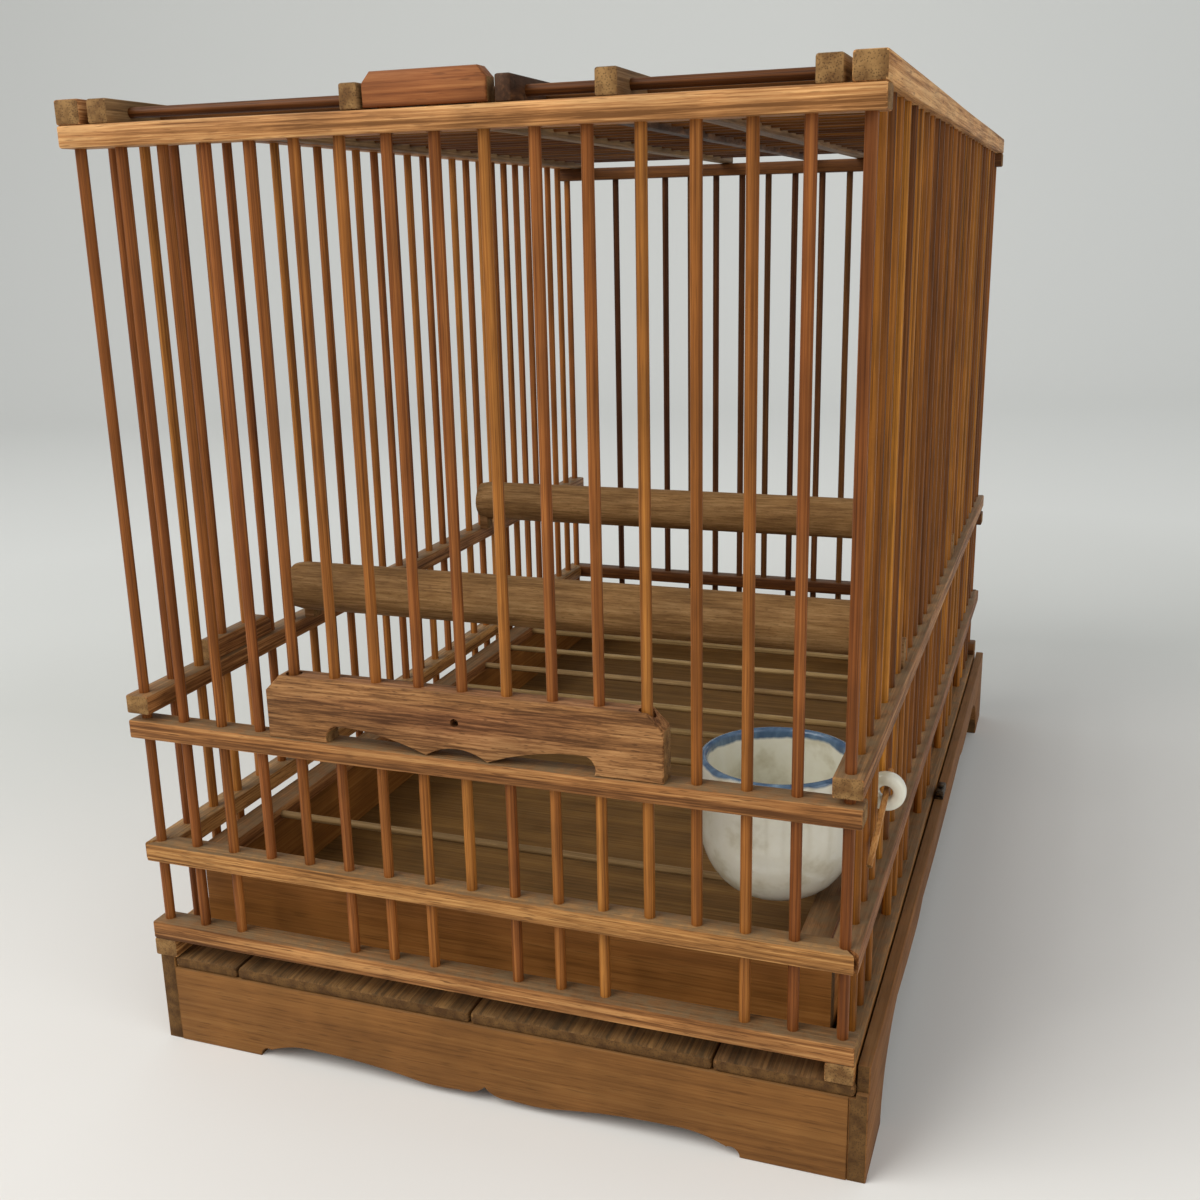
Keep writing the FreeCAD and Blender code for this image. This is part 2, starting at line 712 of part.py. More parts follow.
def perch(name, depth, tongue_depth):
    round_bar = rod(f"{name}_round", ("cage_x - perch_half_length", f"front_y + {depth}",
                                      "perch_axis_level"), "perch_radius", "perch_half_length * 2", "x")
    right_tongue = box(f"{name}_right_tongue",
                       ("cage_x + perch_half_length - perch_tongue_root", f"front_y + {tongue_depth}",
                        "left_door_level"),
                       ("perch_tongue_root + perch_tongue_reach", "perch_tongue_width",
                        "perch_tongue_height"))
    left_tongue = box(f"{name}_left_tongue",
                      ("cage_x - perch_half_length", f"front_y + {tongue_depth}", "left_door_level"),
                      ("rail_half", "perch_tongue_width", "perch_tongue_height"))
    return node(fuse(name, [round_bar, right_tongue, left_tongue]), name)


perch("perch_front", "front_perch_depth", "front_tongue_depth")
perch("perch_back", "back_perch_depth", "back_tongue_depth")

# Feeding cup: a turned pot with an ear that reaches out between two bars

cup_sketch = document.addObject("Sketcher::SketchObject", "cup_profile")
radius = sheet.get("cup_radius")
height = sheet.get("cup_height")
foot = sheet.get("cup_foot_radius")
turn = sheet.get("cup_round")
wall = sheet.get("cup_wall")


def cup_point(r, z):
    return FreeCAD.Vector(r, z, 0)


lean_share = 0.2929
inner = radius - wall
outline_points = [
    (cup_point(0, 0), "0", "0"),
    (cup_point(foot, 0), "cup_foot_radius", "0"),
    (cup_point(radius, turn), "cup_radius", "cup_round"),
    (cup_point(radius, height), "cup_radius", "cup_height"),
    (cup_point(inner, height), "cup_radius - cup_wall", "cup_height"),
    (cup_point(inner, turn), "cup_radius - cup_wall", "cup_round"),
    (cup_point(foot, wall), "cup_foot_radius", "cup_wall"),
    (cup_point(0, wall), "0", "cup_wall"),
]
curves = {
    1: (cup_point(foot + (radius - foot) * (1 - lean_share), turn * lean_share),
        f"cup_foot_radius + (cup_radius - cup_foot_radius) * {1 - lean_share}", f"cup_round * {lean_share}"),
    5: (cup_point(foot + (inner - foot) * (1 - lean_share), wall + (turn - wall) * lean_share),
        f"cup_foot_radius + (cup_radius - cup_wall - cup_foot_radius) * {1 - lean_share}",
        f"cup_wall + (cup_round - cup_wall) * {lean_share}"),
}


def fix_cup_point(geometry, position, spot, x_formula, y_formula):
    for kind, value, formula in (("DistanceX", spot.x, x_formula), ("DistanceY", spot.y, y_formula)):
        index = cup_sketch.addConstraint(Sketcher.Constraint(kind, -1, 1, geometry, position, value))
        cup_sketch.setExpression(f"Constraints[{index}]", linked(formula))


cup_ends = []
for index, (start, _, _) in enumerate(outline_points):
    finish = outline_points[(index + 1) % len(outline_points)][0]
    if index in curves:
        number = cup_sketch.addGeometry(Part.Arc(start, curves[index][0], finish), False)
        backwards = cup_sketch.getPoint(number, 1).distanceToPoint(start) > 1e-6
        cup_ends.append((number, 2 if backwards else 1, 1 if backwards else 2))
    else:
        number = cup_sketch.addGeometry(Part.LineSegment(start, finish), False)
        cup_ends.append((number, 1, 2))
for index, (number, first, last) in enumerate(cup_ends):
    following = cup_ends[(index + 1) % len(cup_ends)]
    cup_sketch.addConstraint(Sketcher.Constraint("Coincident", number, last, following[0], following[1]))
    fix_cup_point(number, first, *outline_points[index])
for index, (spot, x_formula, y_formula) in curves.items():
    mark = cup_sketch.addGeometry(Part.Point(spot), True)
    cup_sketch.addConstraint(Sketcher.Constraint("PointOnObject", mark, 1, cup_ends[index][0]))
    fix_cup_point(mark, 1, spot, x_formula, y_formula)
upright(cup_sketch, ("cup_x_place", "cup_y_place", "cup_floor_level"), "front")
pot = document.addObject("Part::Revolution", "pot")
pot.Source = cup_sketch
pot.Axis = FreeCAD.Vector(0, 0, 1)
pot.Angle = QUARTER_TURN_DEGREES * 4
pot.Solid = True
bind(pot, Base__x="cup_x_place", Base__y="cup_y_place")
ear_start = "ear_y_place - ear_thickness / 2"
ear_disc = rod("ear_disc", ("ear_x_place", ear_start, "ear_level"), "ear_radius", "ear_thickness", "y")
neck = box("ear_neck",
           ("cup_x_place + cup_radius - cup_wall", ear_start, "ear_level - ear_neck_height / 2"),
           ("ear_x - cup_x - cup_radius + cup_wall", "ear_thickness", "ear_neck_height"))
ear_hole = rod("ear_hole", ("ear_x_place", f"{ear_start} - overrun", "ear_level"), "ear_hole_radius",
               "ear_thickness + overrun * 2", "y")
ear = cut("ear", fuse("ear_blank", [ear_disc, neck]), ear_hole)
node(fuse("feeding_cup", [pot, ear]), "feeding_cup")

# Peg through the ear, sloping down to the front

peg = document.addObject("Part::Cylinder", "cup_peg")
slope = FreeCAD.Rotation(FreeCAD.Vector(1, 0, 0), PEG_SLOPE_DEGREES - QUARTER_TURN_DEGREES)
run_share = round(math.cos(math.radians(PEG_SLOPE_DEGREES)), 4)
fall_share = round(math.sin(math.radians(PEG_SLOPE_DEGREES)), 4)
peg.Placement = FreeCAD.Placement(FreeCAD.Vector(), slope)
bind(peg, Radius="peg_radius", Height="peg_length")
place(peg, "ear_x_place", f"ear_y_place - peg_ahead * {run_share}",
      f"ear_level - peg_drop - peg_ahead * {fall_share}")
node(peg, "cup_peg")

# Turn catch on the lip

plate = box("catch_plate_body",
            ("catch_x - catch_button_width / 2", "catch_y - catch_plate_length / 2", "lip_top"),
            ("catch_button_width", "catch_plate_length", "catch_plate_thickness"))
pin_shaft_top = "catch_button_level + catch_button_height + catch_gap"
pin_socket = rod("catch_pin_socket", ("catch_x", "catch_y", "lip_top"), "catch_pin_radius + catch_pin_gap",
                 "catch_plate_thickness", "z")
node(cut("catch_plate", plate, pin_socket), "catch_plate")
button = box("catch_button_body",
             ("catch_x - catch_button_width / 2", "catch_y - catch_button_length / 2", "catch_button_level"),
             ("catch_button_width", "catch_button_length", "catch_button_height"))
button_hole = rod("catch_button_hole", ("catch_x", "catch_y", "lip_top"),
                  "catch_pin_radius + catch_pin_gap", "lip_top", "z")
node(cut("catch_button", button, button_hole), "catch_button")
pin_shaft = rod("catch_pin_shaft", ("catch_x", "catch_y", "lip_top"), "catch_pin_radius",
                f"{pin_shaft_top} - lip_top", "z")
pin_head = rod("catch_pin_head_disc", ("catch_x", "catch_y", pin_shaft_top), "catch_pin_head",
               "catch_pin_head_height", "z")
node(fuse("catch_pin", [pin_shaft, pin_head]), "catch_pin")

document.recompute()

for item in document.Objects:
    if "Invalid" in item.State or "Error" in item.State:
        raise RuntimeError(f"{item.Label} did not compute: {item.State}")
os.makedirs("parts", exist_ok=True)
for item in nodes:
    shape = item.Shape
    if shape.isNull() or not shape.isValid():
        raise RuntimeError(f"{item.Label} has no valid shape")
    shape.exportStep(f"parts/{item.Label}.step")
print(f"{len(nodes)} pieces written")
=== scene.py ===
import json
import math
import random

import bmesh
import bpy
from mathutils import Matrix, Vector


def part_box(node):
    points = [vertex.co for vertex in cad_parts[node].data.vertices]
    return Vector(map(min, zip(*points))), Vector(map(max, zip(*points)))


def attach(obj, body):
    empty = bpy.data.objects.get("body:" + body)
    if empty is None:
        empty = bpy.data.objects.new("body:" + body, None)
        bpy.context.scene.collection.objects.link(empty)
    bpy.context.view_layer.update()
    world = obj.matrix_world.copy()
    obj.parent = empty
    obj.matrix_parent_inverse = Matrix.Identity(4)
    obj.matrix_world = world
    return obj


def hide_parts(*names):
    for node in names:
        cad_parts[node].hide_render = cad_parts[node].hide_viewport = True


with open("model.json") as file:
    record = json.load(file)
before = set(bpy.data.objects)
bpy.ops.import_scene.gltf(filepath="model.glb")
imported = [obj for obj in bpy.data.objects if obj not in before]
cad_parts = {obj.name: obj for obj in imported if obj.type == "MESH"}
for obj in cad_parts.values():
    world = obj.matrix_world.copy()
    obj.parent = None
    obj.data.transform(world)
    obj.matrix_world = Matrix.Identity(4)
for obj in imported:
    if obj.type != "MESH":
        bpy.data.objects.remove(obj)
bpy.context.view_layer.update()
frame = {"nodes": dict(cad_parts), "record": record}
random.seed(7)

MM = 0.001
BODY_OF = {
    node: body
    for body, nodes in frame["record"]["behaviour"]["bodies"].items()
    for node in nodes
}
WALLS = ("front", "back", "left", "right")
top_rail_low, top_rail_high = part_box("front_top_rail")
CAGE_X = (top_rail_low.x + top_rail_high.x) / 2
FRONT_Y = (top_rail_low.y + top_rail_high.y) / 2

# Sizes that the looks add to the frame, in metres
EDGE_ROUND = 0.7 * MM
FINE_ROUND = 0.4 * MM
PLANK_SWAY = 0.12 * MM
RAIL_SWAY = 0.16 * MM
ROD_BEND = 0.22 * MM
FLOOR_SIZE = 6.0
BACKDROP_DISTANCE = 1.5
BACKDROP_CURVE = 0.9
BACKDROP_HEIGHT = 3.0

# How finely the forms are cut
EDGE_STEPS = 2
PLANK_CUTS = 6
RAIL_CUTS = 10
ROD_SIDES = 12
BAR_RINGS = 12
ROD_RINGS = 8
ARC_STEPS = 9
BORE_SIDES = 20
SLIDING_HOLE_SIDES = 24
SMOOTH_BELOW = math.radians(38)
WELD_DISTANCE = 1e-6
END_SLOT = 1
END_FACING = 0.9
PHASES = 6.28


def srgb(red, green, blue):
    """A colour as it is seen on screen, 0 to 255, as the shader's linear values."""
    def linear(value):
        part = value / 255
        return part / 12.92 if part <= 0.04045 else ((part + 0.055) / 1.055) ** 2.4
    return (linear(red), linear(green), linear(blue), 1.0)


# Materials


class Shader:
    """Short ways to add nodes to a new material."""

    def __init__(self, name):
        self.material = bpy.data.materials.new(name)
        self.material.use_nodes = True
        self.tree = self.material.node_tree
        self.surface = self.tree.nodes["Principled BSDF"]

    def node(self, kind, **settings):
        made = self.tree.nodes.new(kind)
        for name, value in settings.items():
            setattr(made, name, value)
        return made

    def link(self, output, target):
        self.tree.links.new(output, target)

    def coordinates(self, scale):
        place = self.node("ShaderNodeTexCoord")
        mapping = self.node("ShaderNodeMapping")
        mapping.inputs["Scale"].default_value = scale
        self.link(place.outputs["Object"], mapping.inputs["Vector"])
        return mapping.outputs["Vector"]

    def noise(self, scale, detail=3.0, roughness=0.55, distortion=0.0):
        texture = self.node("ShaderNodeTexNoise")
        texture.inputs["Scale"].default_value = 1.0
        texture.inputs["Detail"].default_value = detail
        texture.inputs["Roughness"].default_value = roughness
        texture.inputs["Distortion"].default_value = distortion
        self.link(self.coordinates(scale), texture.inputs["Vector"])
        return texture.outputs["Fac"]

    def ramp(self, source, places, colours):
        ramp = self.node("ShaderNodeValToRGB")
        elements = ramp.color_ramp.elements
        while len(elements) < len(colours):
            elements.new(0.5)
        for element, place, colour in zip(elements, places, colours):
            element.position = place
            element.color = colour
        self.link(source, ramp.inputs["Fac"])
        return ramp.outputs["Color"]

    def math(self, operation, first, second=0.5):
        made = self.node("ShaderNodeMath", operation=operation)
        for socket, value in zip(made.inputs, (first, second)):
            if isinstance(value, (int, float)):
                socket.default_value = value
            else:
                self.link(value, socket)
        return made.outputs["Value"]

    def spread(self, source, low, high, to_low=0.0, to_high=1.0):
        made = self.node("ShaderNodeMapRange")
        for name, value in (("From Min", low), ("From Max", high), ("To Min", to_low), ("To Max", to_high)):
            made.inputs[name].default_value = value
        self.link(source, made.inputs["Value"])
        return made.outputs["Result"]

    def mix(self, amount, first, second):
        made = self.node("ShaderNodeMix", data_type="RGBA")
        sockets = [socket for socket in made.inputs if socket.enabled]
        for socket, value in zip(sockets, (amount, first, second)):
            if isinstance(value, (int, float, tuple)):
                socket.default_value = value
            else:
                self.link(value, socket)
        return next(socket for socket in made.outputs if socket.enabled)

    def bump(self, height, strength, distance):
        made = self.node("ShaderNodeBump")
        made.inputs["Strength"].default_value = strength
        made.inputs["Distance"].default_value = distance
        self.link(height, made.inputs["Height"])
        self.link(made.outputs["Normal"], self.surface.inputs["Normal"])


def grain_scale(axis, across, along):
    return tuple(along if index == "xyz".index(axis) else across for index in range(3))


PATCH_SCALE = (42, 42, 42)
PATCH_TONES = (0.80, 1.13)
TINT_HUES = (0.492, 0.505)
STREAK_SHARE = 0.65
DUST_SCALE = (210, 210, 210)
DUST_COLOUR = srgb(116, 97, 71)
WOOD_SPECULAR = 0.14
WOOD_RELIEF = 0.25 * MM


def wood(name, axis, dark, middle, light, fine=1100, length=22, tint=0.5, dust=0.0, gloss=0.5, pores=0.5,
         calm=0.16):
    """Wood or split cane: streaks along one axis, patches, dark pores, dust on top and a tint per piece.

    fine and length set the streaks' scale across and along the axis, and a small calm makes them stronger.
    """
    shader = Shader(name)
    streaks = shader.noise(grain_scale(axis, fine, length), detail=6.0, roughness=0.70)
    bands = shader.noise(grain_scale(axis, fine / 6, length / 5), detail=2.0, distortion=0.4)
    patches = shader.noise(PATCH_SCALE, detail=2.0)
    grain = shader.math("ADD", shader.math("MULTIPLY", streaks, STREAK_SHARE),
                        shader.math("MULTIPLY", bands, 1.0 - STREAK_SHARE))
    colour = shader.ramp(grain, (0.5 - calm, 0.5, 0.5 + calm), (dark, middle, light))
    tone = shader.spread(patches, 0.3, 0.7, *PATCH_TONES)
    attribute = shader.node("ShaderNodeAttribute", attribute_name="tint")
    piece_tone = shader.spread(attribute.outputs["Fac"], 0.0, 1.0, 1.0 - tint, 1.0 + tint * 0.7)
    shade = shader.math("MULTIPLY", tone, piece_tone)
    toned = shader.node("ShaderNodeHueSaturation")
    shader.link(colour, toned.inputs["Color"])
    shader.link(shade, toned.inputs["Value"])
    hue = shader.spread(attribute.outputs["Fac"], 0.0, 1.0, *TINT_HUES)
    shader.link(hue, toned.inputs["Hue"])
    pore_noise = shader.noise(grain_scale(axis, fine * 1.9, length * 6), detail=1.0)
    pore = shader.spread(pore_noise, 0.60, 0.70, 0.0, pores)
    result = shader.mix(pore, toned.outputs["Color"], dark)
    if dust:
        normal = shader.node("ShaderNodeNewGeometry")
        split = shader.node("ShaderNodeSeparateXYZ")
        shader.link(normal.outputs["Normal"], split.inputs["Vector"])
        upward = shader.spread(split.outputs["Z"], 0.55, 1.0, 0.0, dust)
        cloud = shader.spread(shader.noise(DUST_SCALE, detail=4.0, roughness=0.7), 0.36, 0.62, 0.45, 1.0)
        result = shader.mix(shader.math("MULTIPLY", upward, cloud), result, DUST_COLOUR)
    shader.link(result, shader.surface.inputs["Base Color"])
    rough = shader.spread(streaks, 0.3, 0.7, gloss + 0.12, gloss - 0.06)
    shader.link(rough, shader.surface.inputs["Roughness"])
    shader.surface.inputs["Specular IOR Level"].default_value = WOOD_SPECULAR
    height = shader.math("SUBTRACT", grain, shader.math("MULTIPLY", pore, 0.5))
    shader.bump(height, 0.5, WOOD_RELIEF)
    return shader.material


PORE_SCALE = (1700, 1700, 1700)
STAIN_SCALE = (260, 260, 260)
PORE_COLOUR = srgb(58, 36, 18)
FINE_RELIEF = 0.2 * MM


def end_grain(name, dark, light):
    """Cut ends of cane: close dark pores on a lighter ground, with stained patches."""
    shader = Shader(name)
    cells = shader.node("ShaderNodeTexVoronoi")
    cells.inputs["Scale"].default_value = 1.0
    shader.link(shader.coordinates(PORE_SCALE), cells.inputs["Vector"])
    holes = shader.spread(cells.outputs["Distance"], 0.18, 0.42, 1.0, 0.0)
    stain = shader.noise(STAIN_SCALE, detail=3.0)
    ground = shader.ramp(stain, (0.35, 0.68), (dark, light))
    colour = shader.mix(shader.math("MULTIPLY", holes, 0.6), ground, PORE_COLOUR)
    shader.link(colour, shader.surface.inputs["Base Color"])
    shader.surface.inputs["Roughness"].default_value = 0.75
    shader.surface.inputs["Specular IOR Level"].default_value = 0.2
    shader.bump(shader.math("SUBTRACT", 1.0, holes), 0.4, FINE_RELIEF)
    return shader.material


BAND_INSIDE = 4.0 * MM
BAND_OUTSIDE = 1.6 * MM
BAND_STEP = 0.9 * MM
BAND_EDGE = 0.8 * MM
BAND_WANDER = 0.7 * MM
GLAZE_TONES = (srgb(206, 199, 172), srgb(232, 229, 210), srgb(240, 239, 225))
BLUE_TONES = (srgb(66, 92, 122), srgb(96, 124, 150), srgb(140, 162, 178))


def glaze(name, centre, inner_radius, rim_level):
    """White glaze, a blue painted rim that reaches further down inside than outside, stains and pits."""
    shader = Shader(name)
    place = shader.node("ShaderNodeTexCoord")
    split = shader.node("ShaderNodeSeparateXYZ")
    shader.link(place.outputs["Object"], split.inputs["Vector"])
    wander = shader.spread(shader.noise((90, 90, 20), detail=2.0), 0.3, 0.7, -BAND_WANDER, BAND_WANDER)
    height = shader.math("ADD", split.outputs["Z"], wander)
    across = shader.math("SUBTRACT", split.outputs["X"], centre.x)
    along = shader.math("SUBTRACT", split.outputs["Y"], centre.y)
    squares = shader.math("ADD", shader.math("MULTIPLY", across, across),
                          shader.math("MULTIPLY", along, along))
    radius = shader.math("SQRT", squares)
    painted = shader.spread(radius, inner_radius, inner_radius + BAND_STEP, BAND_INSIDE, BAND_OUTSIDE)
    painted_from = shader.math("SUBTRACT", rim_level, painted)
    band = shader.spread(shader.math("SUBTRACT", height, painted_from), 0.0, BAND_EDGE)
    stain = shader.noise((60, 60, 60), detail=4.0, roughness=0.6)
    body = shader.ramp(stain, (0.32, 0.47, 0.70), GLAZE_TONES)
    wash = shader.noise((180, 180, 60), detail=3.0)
    blue = shader.ramp(wash, (0.36, 0.58, 0.76), BLUE_TONES)
    shader.link(shader.mix(band, body, blue), shader.surface.inputs["Base Color"])
    shader.surface.inputs["Roughness"].default_value = 0.16
    shader.surface.inputs["Coat Weight"].default_value = 0.35
    shader.bump(shader.noise((420, 420, 420), detail=2.0), 0.12, FINE_RELIEF)
    return shader.material


BRASS_TONES = (srgb(34, 27, 20), srgb(70, 54, 36), srgb(128, 100, 60))


def old_brass(name):
    """Brass gone dark brown, rubbed brighter in spots."""
    shader = Shader(name)
    patina = shader.noise((900, 900, 900), detail=4.0, roughness=0.7)
    colour = shader.ramp(patina, (0.38, 0.56, 0.72), BRASS_TONES)
    shader.link(colour, shader.surface.inputs["Base Color"])
    shader.surface.inputs["Metallic"].default_value = 0.8
    shader.link(shader.spread(patina, 0.3, 0.7, 0.55, 0.32), shader.surface.inputs["Roughness"])
    shader.bump(patina, 0.3, FINE_RELIEF * 0.75)
    return shader.material


RAIL_TONES = (srgb(92, 57, 27), srgb(148, 99, 54), srgb(186, 136, 82))
# Lighter copy of the rail tones for the top rails: painted light where the light falls on them
TOP_RAIL_PAINTED_LIGHT_TONES = (srgb(116, 74, 38), srgb(174, 120, 72), srgb(208, 158, 104))
# Darker copy of the cane tones for the back wall's rails and bars: painted shade on the back wall
BACK_PAINTED_SHADE_TONES = (srgb(58, 32, 14), srgb(96, 58, 26), srgb(130, 84, 42))
BAR_TONES = (srgb(82, 44, 16), srgb(138, 83, 35), srgb(182, 120, 58))
RIGHT_BAR_TONES = (srgb(64, 36, 10), srgb(136, 83, 26), srgb(188, 122, 45))
# Darker cane tones for the roof rods: painted shade inside the cage
ROOF_ROD_PAINTED_SHADE_TONES = (srgb(50, 26, 9), srgb(92, 54, 21), srgb(132, 83, 38))
# Dusty grey-brown batten tones, also darkened as painted shade of the battens' shaded sides
BATTEN_DUST_AND_SHADE_TONES = (srgb(72, 52, 31), srgb(122, 92, 58), srgb(162, 130, 88))
BASE_TONES = (srgb(84, 53, 24), srgb(129, 88, 43), srgb(154, 112, 60))
DECK_TONES = (srgb(62, 42, 19), srgb(101, 70, 35), srgb(134, 98, 54))
TRAY_WALL_TONES = (srgb(100, 63, 24), srgb(147, 97, 42), srgb(178, 126, 64))
TRAY_FLOOR_TONES = (srgb(78, 52, 22), srgb(113, 78, 36), srgb(142, 104, 54))
STICK_TONES = (srgb(114, 88, 52), srgb(154, 124, 80), srgb(182, 154, 110))
PERCH_TONES = (srgb(92, 64, 34), srgb(138, 102, 60), srgb(170, 134, 88))
PLATE_TONES = (srgb(88, 56, 29), srgb(140, 96, 56), srgb(172, 126, 79))
BLOCK_TONES = (srgb(92, 50, 26), srgb(136, 82, 44), srgb(166, 110, 64))
STAINED_TONES = (srgb(38, 24, 14), srgb(74, 50, 30), srgb(130, 92, 54))
PEG_TONES = (srgb(120, 76, 36), srgb(176, 122, 64), srgb(206, 158, 98))

MATERIALS = {}
for letter in "xy":
    MATERIALS[f"rail_{letter}"] = wood(f"rail_cane_{letter}", letter, *RAIL_TONES, fine=1250, tint=0.20,
                                       dust=0.85, pores=0.75, calm=0.10)
    # Top rails: a lighter copy of the rail cane, painted light
    MATERIALS[f"top_rail_{letter}"] = wood(f"top_rail_cane_{letter}", letter, *TOP_RAIL_PAINTED_LIGHT_TONES, fine=1250,
                                           tint=0.12, dust=0.25, pores=0.6, calm=0.09)
    MATERIALS[f"base_{letter}"] = wood(f"base_board_{letter}", letter, *BASE_TONES, fine=800, length=16,
                                       tint=0.08, dust=0.3, gloss=0.6, calm=0.28)
    MATERIALS[f"tray_{letter}"] = wood(f"tray_board_{letter}", letter, *TRAY_WALL_TONES, fine=900, length=12,
                                       tint=0.08, dust=0.15, gloss=0.6, calm=0.24)
MATERIALS["tray_floor"] = wood("tray_floor_board", "x", *TRAY_FLOOR_TONES, fine=900, length=12,
                               tint=0.08, dust=0.15, gloss=0.6, calm=0.20)
# The back wall's rail cane: painted shade, a darker copy of the same cane
MATERIALS["rail_painted_shade"] = wood("rail_cane_painted_shade", "x", *BACK_PAINTED_SHADE_TONES, fine=950, tint=0.16, dust=0.2)
MATERIALS["deck"] = wood("deck_plank", "y", *DECK_TONES, fine=900, length=12,
                         tint=0.10, dust=0.3, gloss=0.7, calm=0.10)
MATERIALS["bar_z"] = wood("bar_cane_upright", "z", *BAR_TONES, fine=1500, length=9, tint=0.26, gloss=0.42)
MATERIALS["bar_x_painted_shade"] = wood("bar_cane_across_painted_shade", "x", *ROOF_ROD_PAINTED_SHADE_TONES, fine=1500, length=9, tint=0.24, gloss=0.42)
MATERIALS["bar_right"] = wood("bar_cane_right", "z", *RIGHT_BAR_TONES, fine=1500, length=9, tint=0.52,
                              gloss=0.42)
MATERIALS["batten"] = wood("batten_cane_dust_and_shade", "y", *BATTEN_DUST_AND_SHADE_TONES, fine=1250, tint=0.16, dust=0.5)
MATERIALS["bar_painted_shade"] = wood("bar_cane_painted_shade", "z", *BACK_PAINTED_SHADE_TONES, fine=1500, length=9, tint=0.24, gloss=0.5)
MATERIALS["stick"] = wood("grid_stick", "x", *STICK_TONES, fine=1300, length=12, tint=0.14, dust=0.3)
MATERIALS["perch"] = wood("perch_wood", "x", *PERCH_TONES, fine=1250, length=70, tint=0.05, gloss=0.66,
                          pores=0.45)
MATERIALS["plate"] = wood("door_plate_cane", "x", *PLATE_TONES, fine=1150, length=44, tint=0.08, dust=0.2,
                          pores=0.8, calm=0.09)
MATERIALS["stained"] = wood("stained_batten", "y", *STAINED_TONES, fine=260, length=60, tint=0.05, dust=0.2)
MATERIALS["block"] = wood("lift_block_wood", "x", *BLOCK_TONES, fine=900, length=22, tint=0.05, dust=0.2)
MATERIALS["end"] = end_grain("cane_end_grain", srgb(104, 72, 38), srgb(152, 116, 70))
MATERIALS["dark_end"] = end_grain("board_end_grain", srgb(75, 49, 21), srgb(106, 75, 38))
MATERIALS["brass"] = old_brass("dark_brass")
MATERIALS["peg"] = wood("peg_cane", "y", *PEG_TONES, fine=1500, length=14, tint=0.1, gloss=0.45)

# The glaze follows the cup's own place and size
cup_low, cup_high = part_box("feeding_cup")
CUP_RADIUS = (cup_high.y - cup_low.y) / 2
CUP_WALL = 3.0 * MM
cup_centre = Vector((cup_low.x + CUP_RADIUS, (cup_low.y + cup_high.y) / 2, cup_low.z))
CUP_INNER_RADIUS = CUP_RADIUS - CUP_WALL
MATERIALS["glaze"] = glaze("cup_glaze", cup_centre, CUP_INNER_RADIUS, cup_high.z)


# Mesh helpers


def piece(name, mesh_data, materials, nodes, tint=None):
    """Make the visible piece that stands for the named CAD nodes."""
    mesh = bpy.data.meshes.new(name)
    mesh_data.to_mesh(mesh)
    mesh_data.free()
    for material in materials:
        mesh.materials.append(MATERIALS[material])
    if "tint" not in mesh.attributes:
        attribute = mesh.attributes.new("tint", "FLOAT", "POINT")
        attribute.data.foreach_set("value", [random.random() if tint is None else tint] * len(mesh.vertices))
    shown = bpy.data.objects.new(name, mesh)
    bpy.context.scene.collection.objects.link(shown)
    mesh.shade_smooth()
    mesh.set_sharp_from_angle(angle=SMOOTH_BELOW)
    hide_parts(*nodes)
    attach(shown, BODY_OF[nodes[0]])
    return shown


def add_cube(data, low, high):
    """A plain box between two corners."""
    verts = bmesh.ops.create_cube(data, size=1.0)["verts"]
    size = high - low
    middle = (high + low) / 2
    for vert in verts:
        vert.co = Vector(middle[i] + vert.co[i] * size[i] for i in range(3))
    return verts


def add_box(data, low, high, round_size, segments=EDGE_STEPS, axis=None, cuts=0, sway=0.0):
    """A box with rounded edges, cut along its axis and swayed a little, so that it doesn't look machined."""
    verts = add_cube(data, low, high)
    size = high - low
    middle = (high + low) / 2
    edges = list({edge for vert in verts for edge in vert.link_edges})
    result = bmesh.ops.bevel(data, geom=edges, offset=round_size, segments=segments, profile=0.5,
                             affect="EDGES")
    faces = list({face for vert in result["verts"] for face in vert.link_faces})
    if axis is not None:
        index = "xyz".index(axis)
        verts = list({vert for face in faces for vert in face.verts})
        edges = list({edge for vert in verts for edge in vert.link_edges})
        for number in range(1, cuts + 1):
            point = Vector(low)
            point[index] = low[index] + size[index] * number / (cuts + 1)
            normal = Vector((0, 0, 0))
            normal[index] = 1
            geometry = list({*verts, *edges, *faces})
            split = bmesh.ops.bisect_plane(data, geom=geometry, plane_co=point, plane_no=normal)
            verts = [g for g in split["geom"] if isinstance(g, bmesh.types.BMVert)]
            edges = [g for g in split["geom"] if isinstance(g, bmesh.types.BMEdge)]
            faces = [g for g in split["geom"] if isinstance(g, bmesh.types.BMFace)]
        if sway:
            phase = random.uniform(0, PHASES)
            for vert in verts:
                share = (vert.co[index] - low[index]) / size[index]
                pull = sway * (0.5 + 0.5 * math.sin(phase + share * 9.0)) * math.sin(math.pi * share)
                for other in range(3):
                    if other != index:
                        side = (vert.co[other] - middle[other]) / (size[other] / 2)
                        vert.co[other] -= side * pull


def mark_ends(data, axis):
    """Give the faces that look along the grain the end grain material."""
    index = "xyz".index(axis)
    data.normal_update()
    for face in data.faces:
        if abs(face.normal[index]) > END_FACING:
            face.material_index = END_SLOT


def plank(node, axis, materials, round_size=EDGE_ROUND, cuts=PLANK_CUTS, sway=PLANK_SWAY):
    """A straight piece of wood in the place of a box-shaped CAD node."""
    low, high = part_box(node)
    data = bmesh.new()
    add_box(data, low, high, round_size, EDGE_STEPS, axis, cuts, sway)
    mark_ends(data, axis)
    return piece(f"{node}_wood", data, materials, [node])


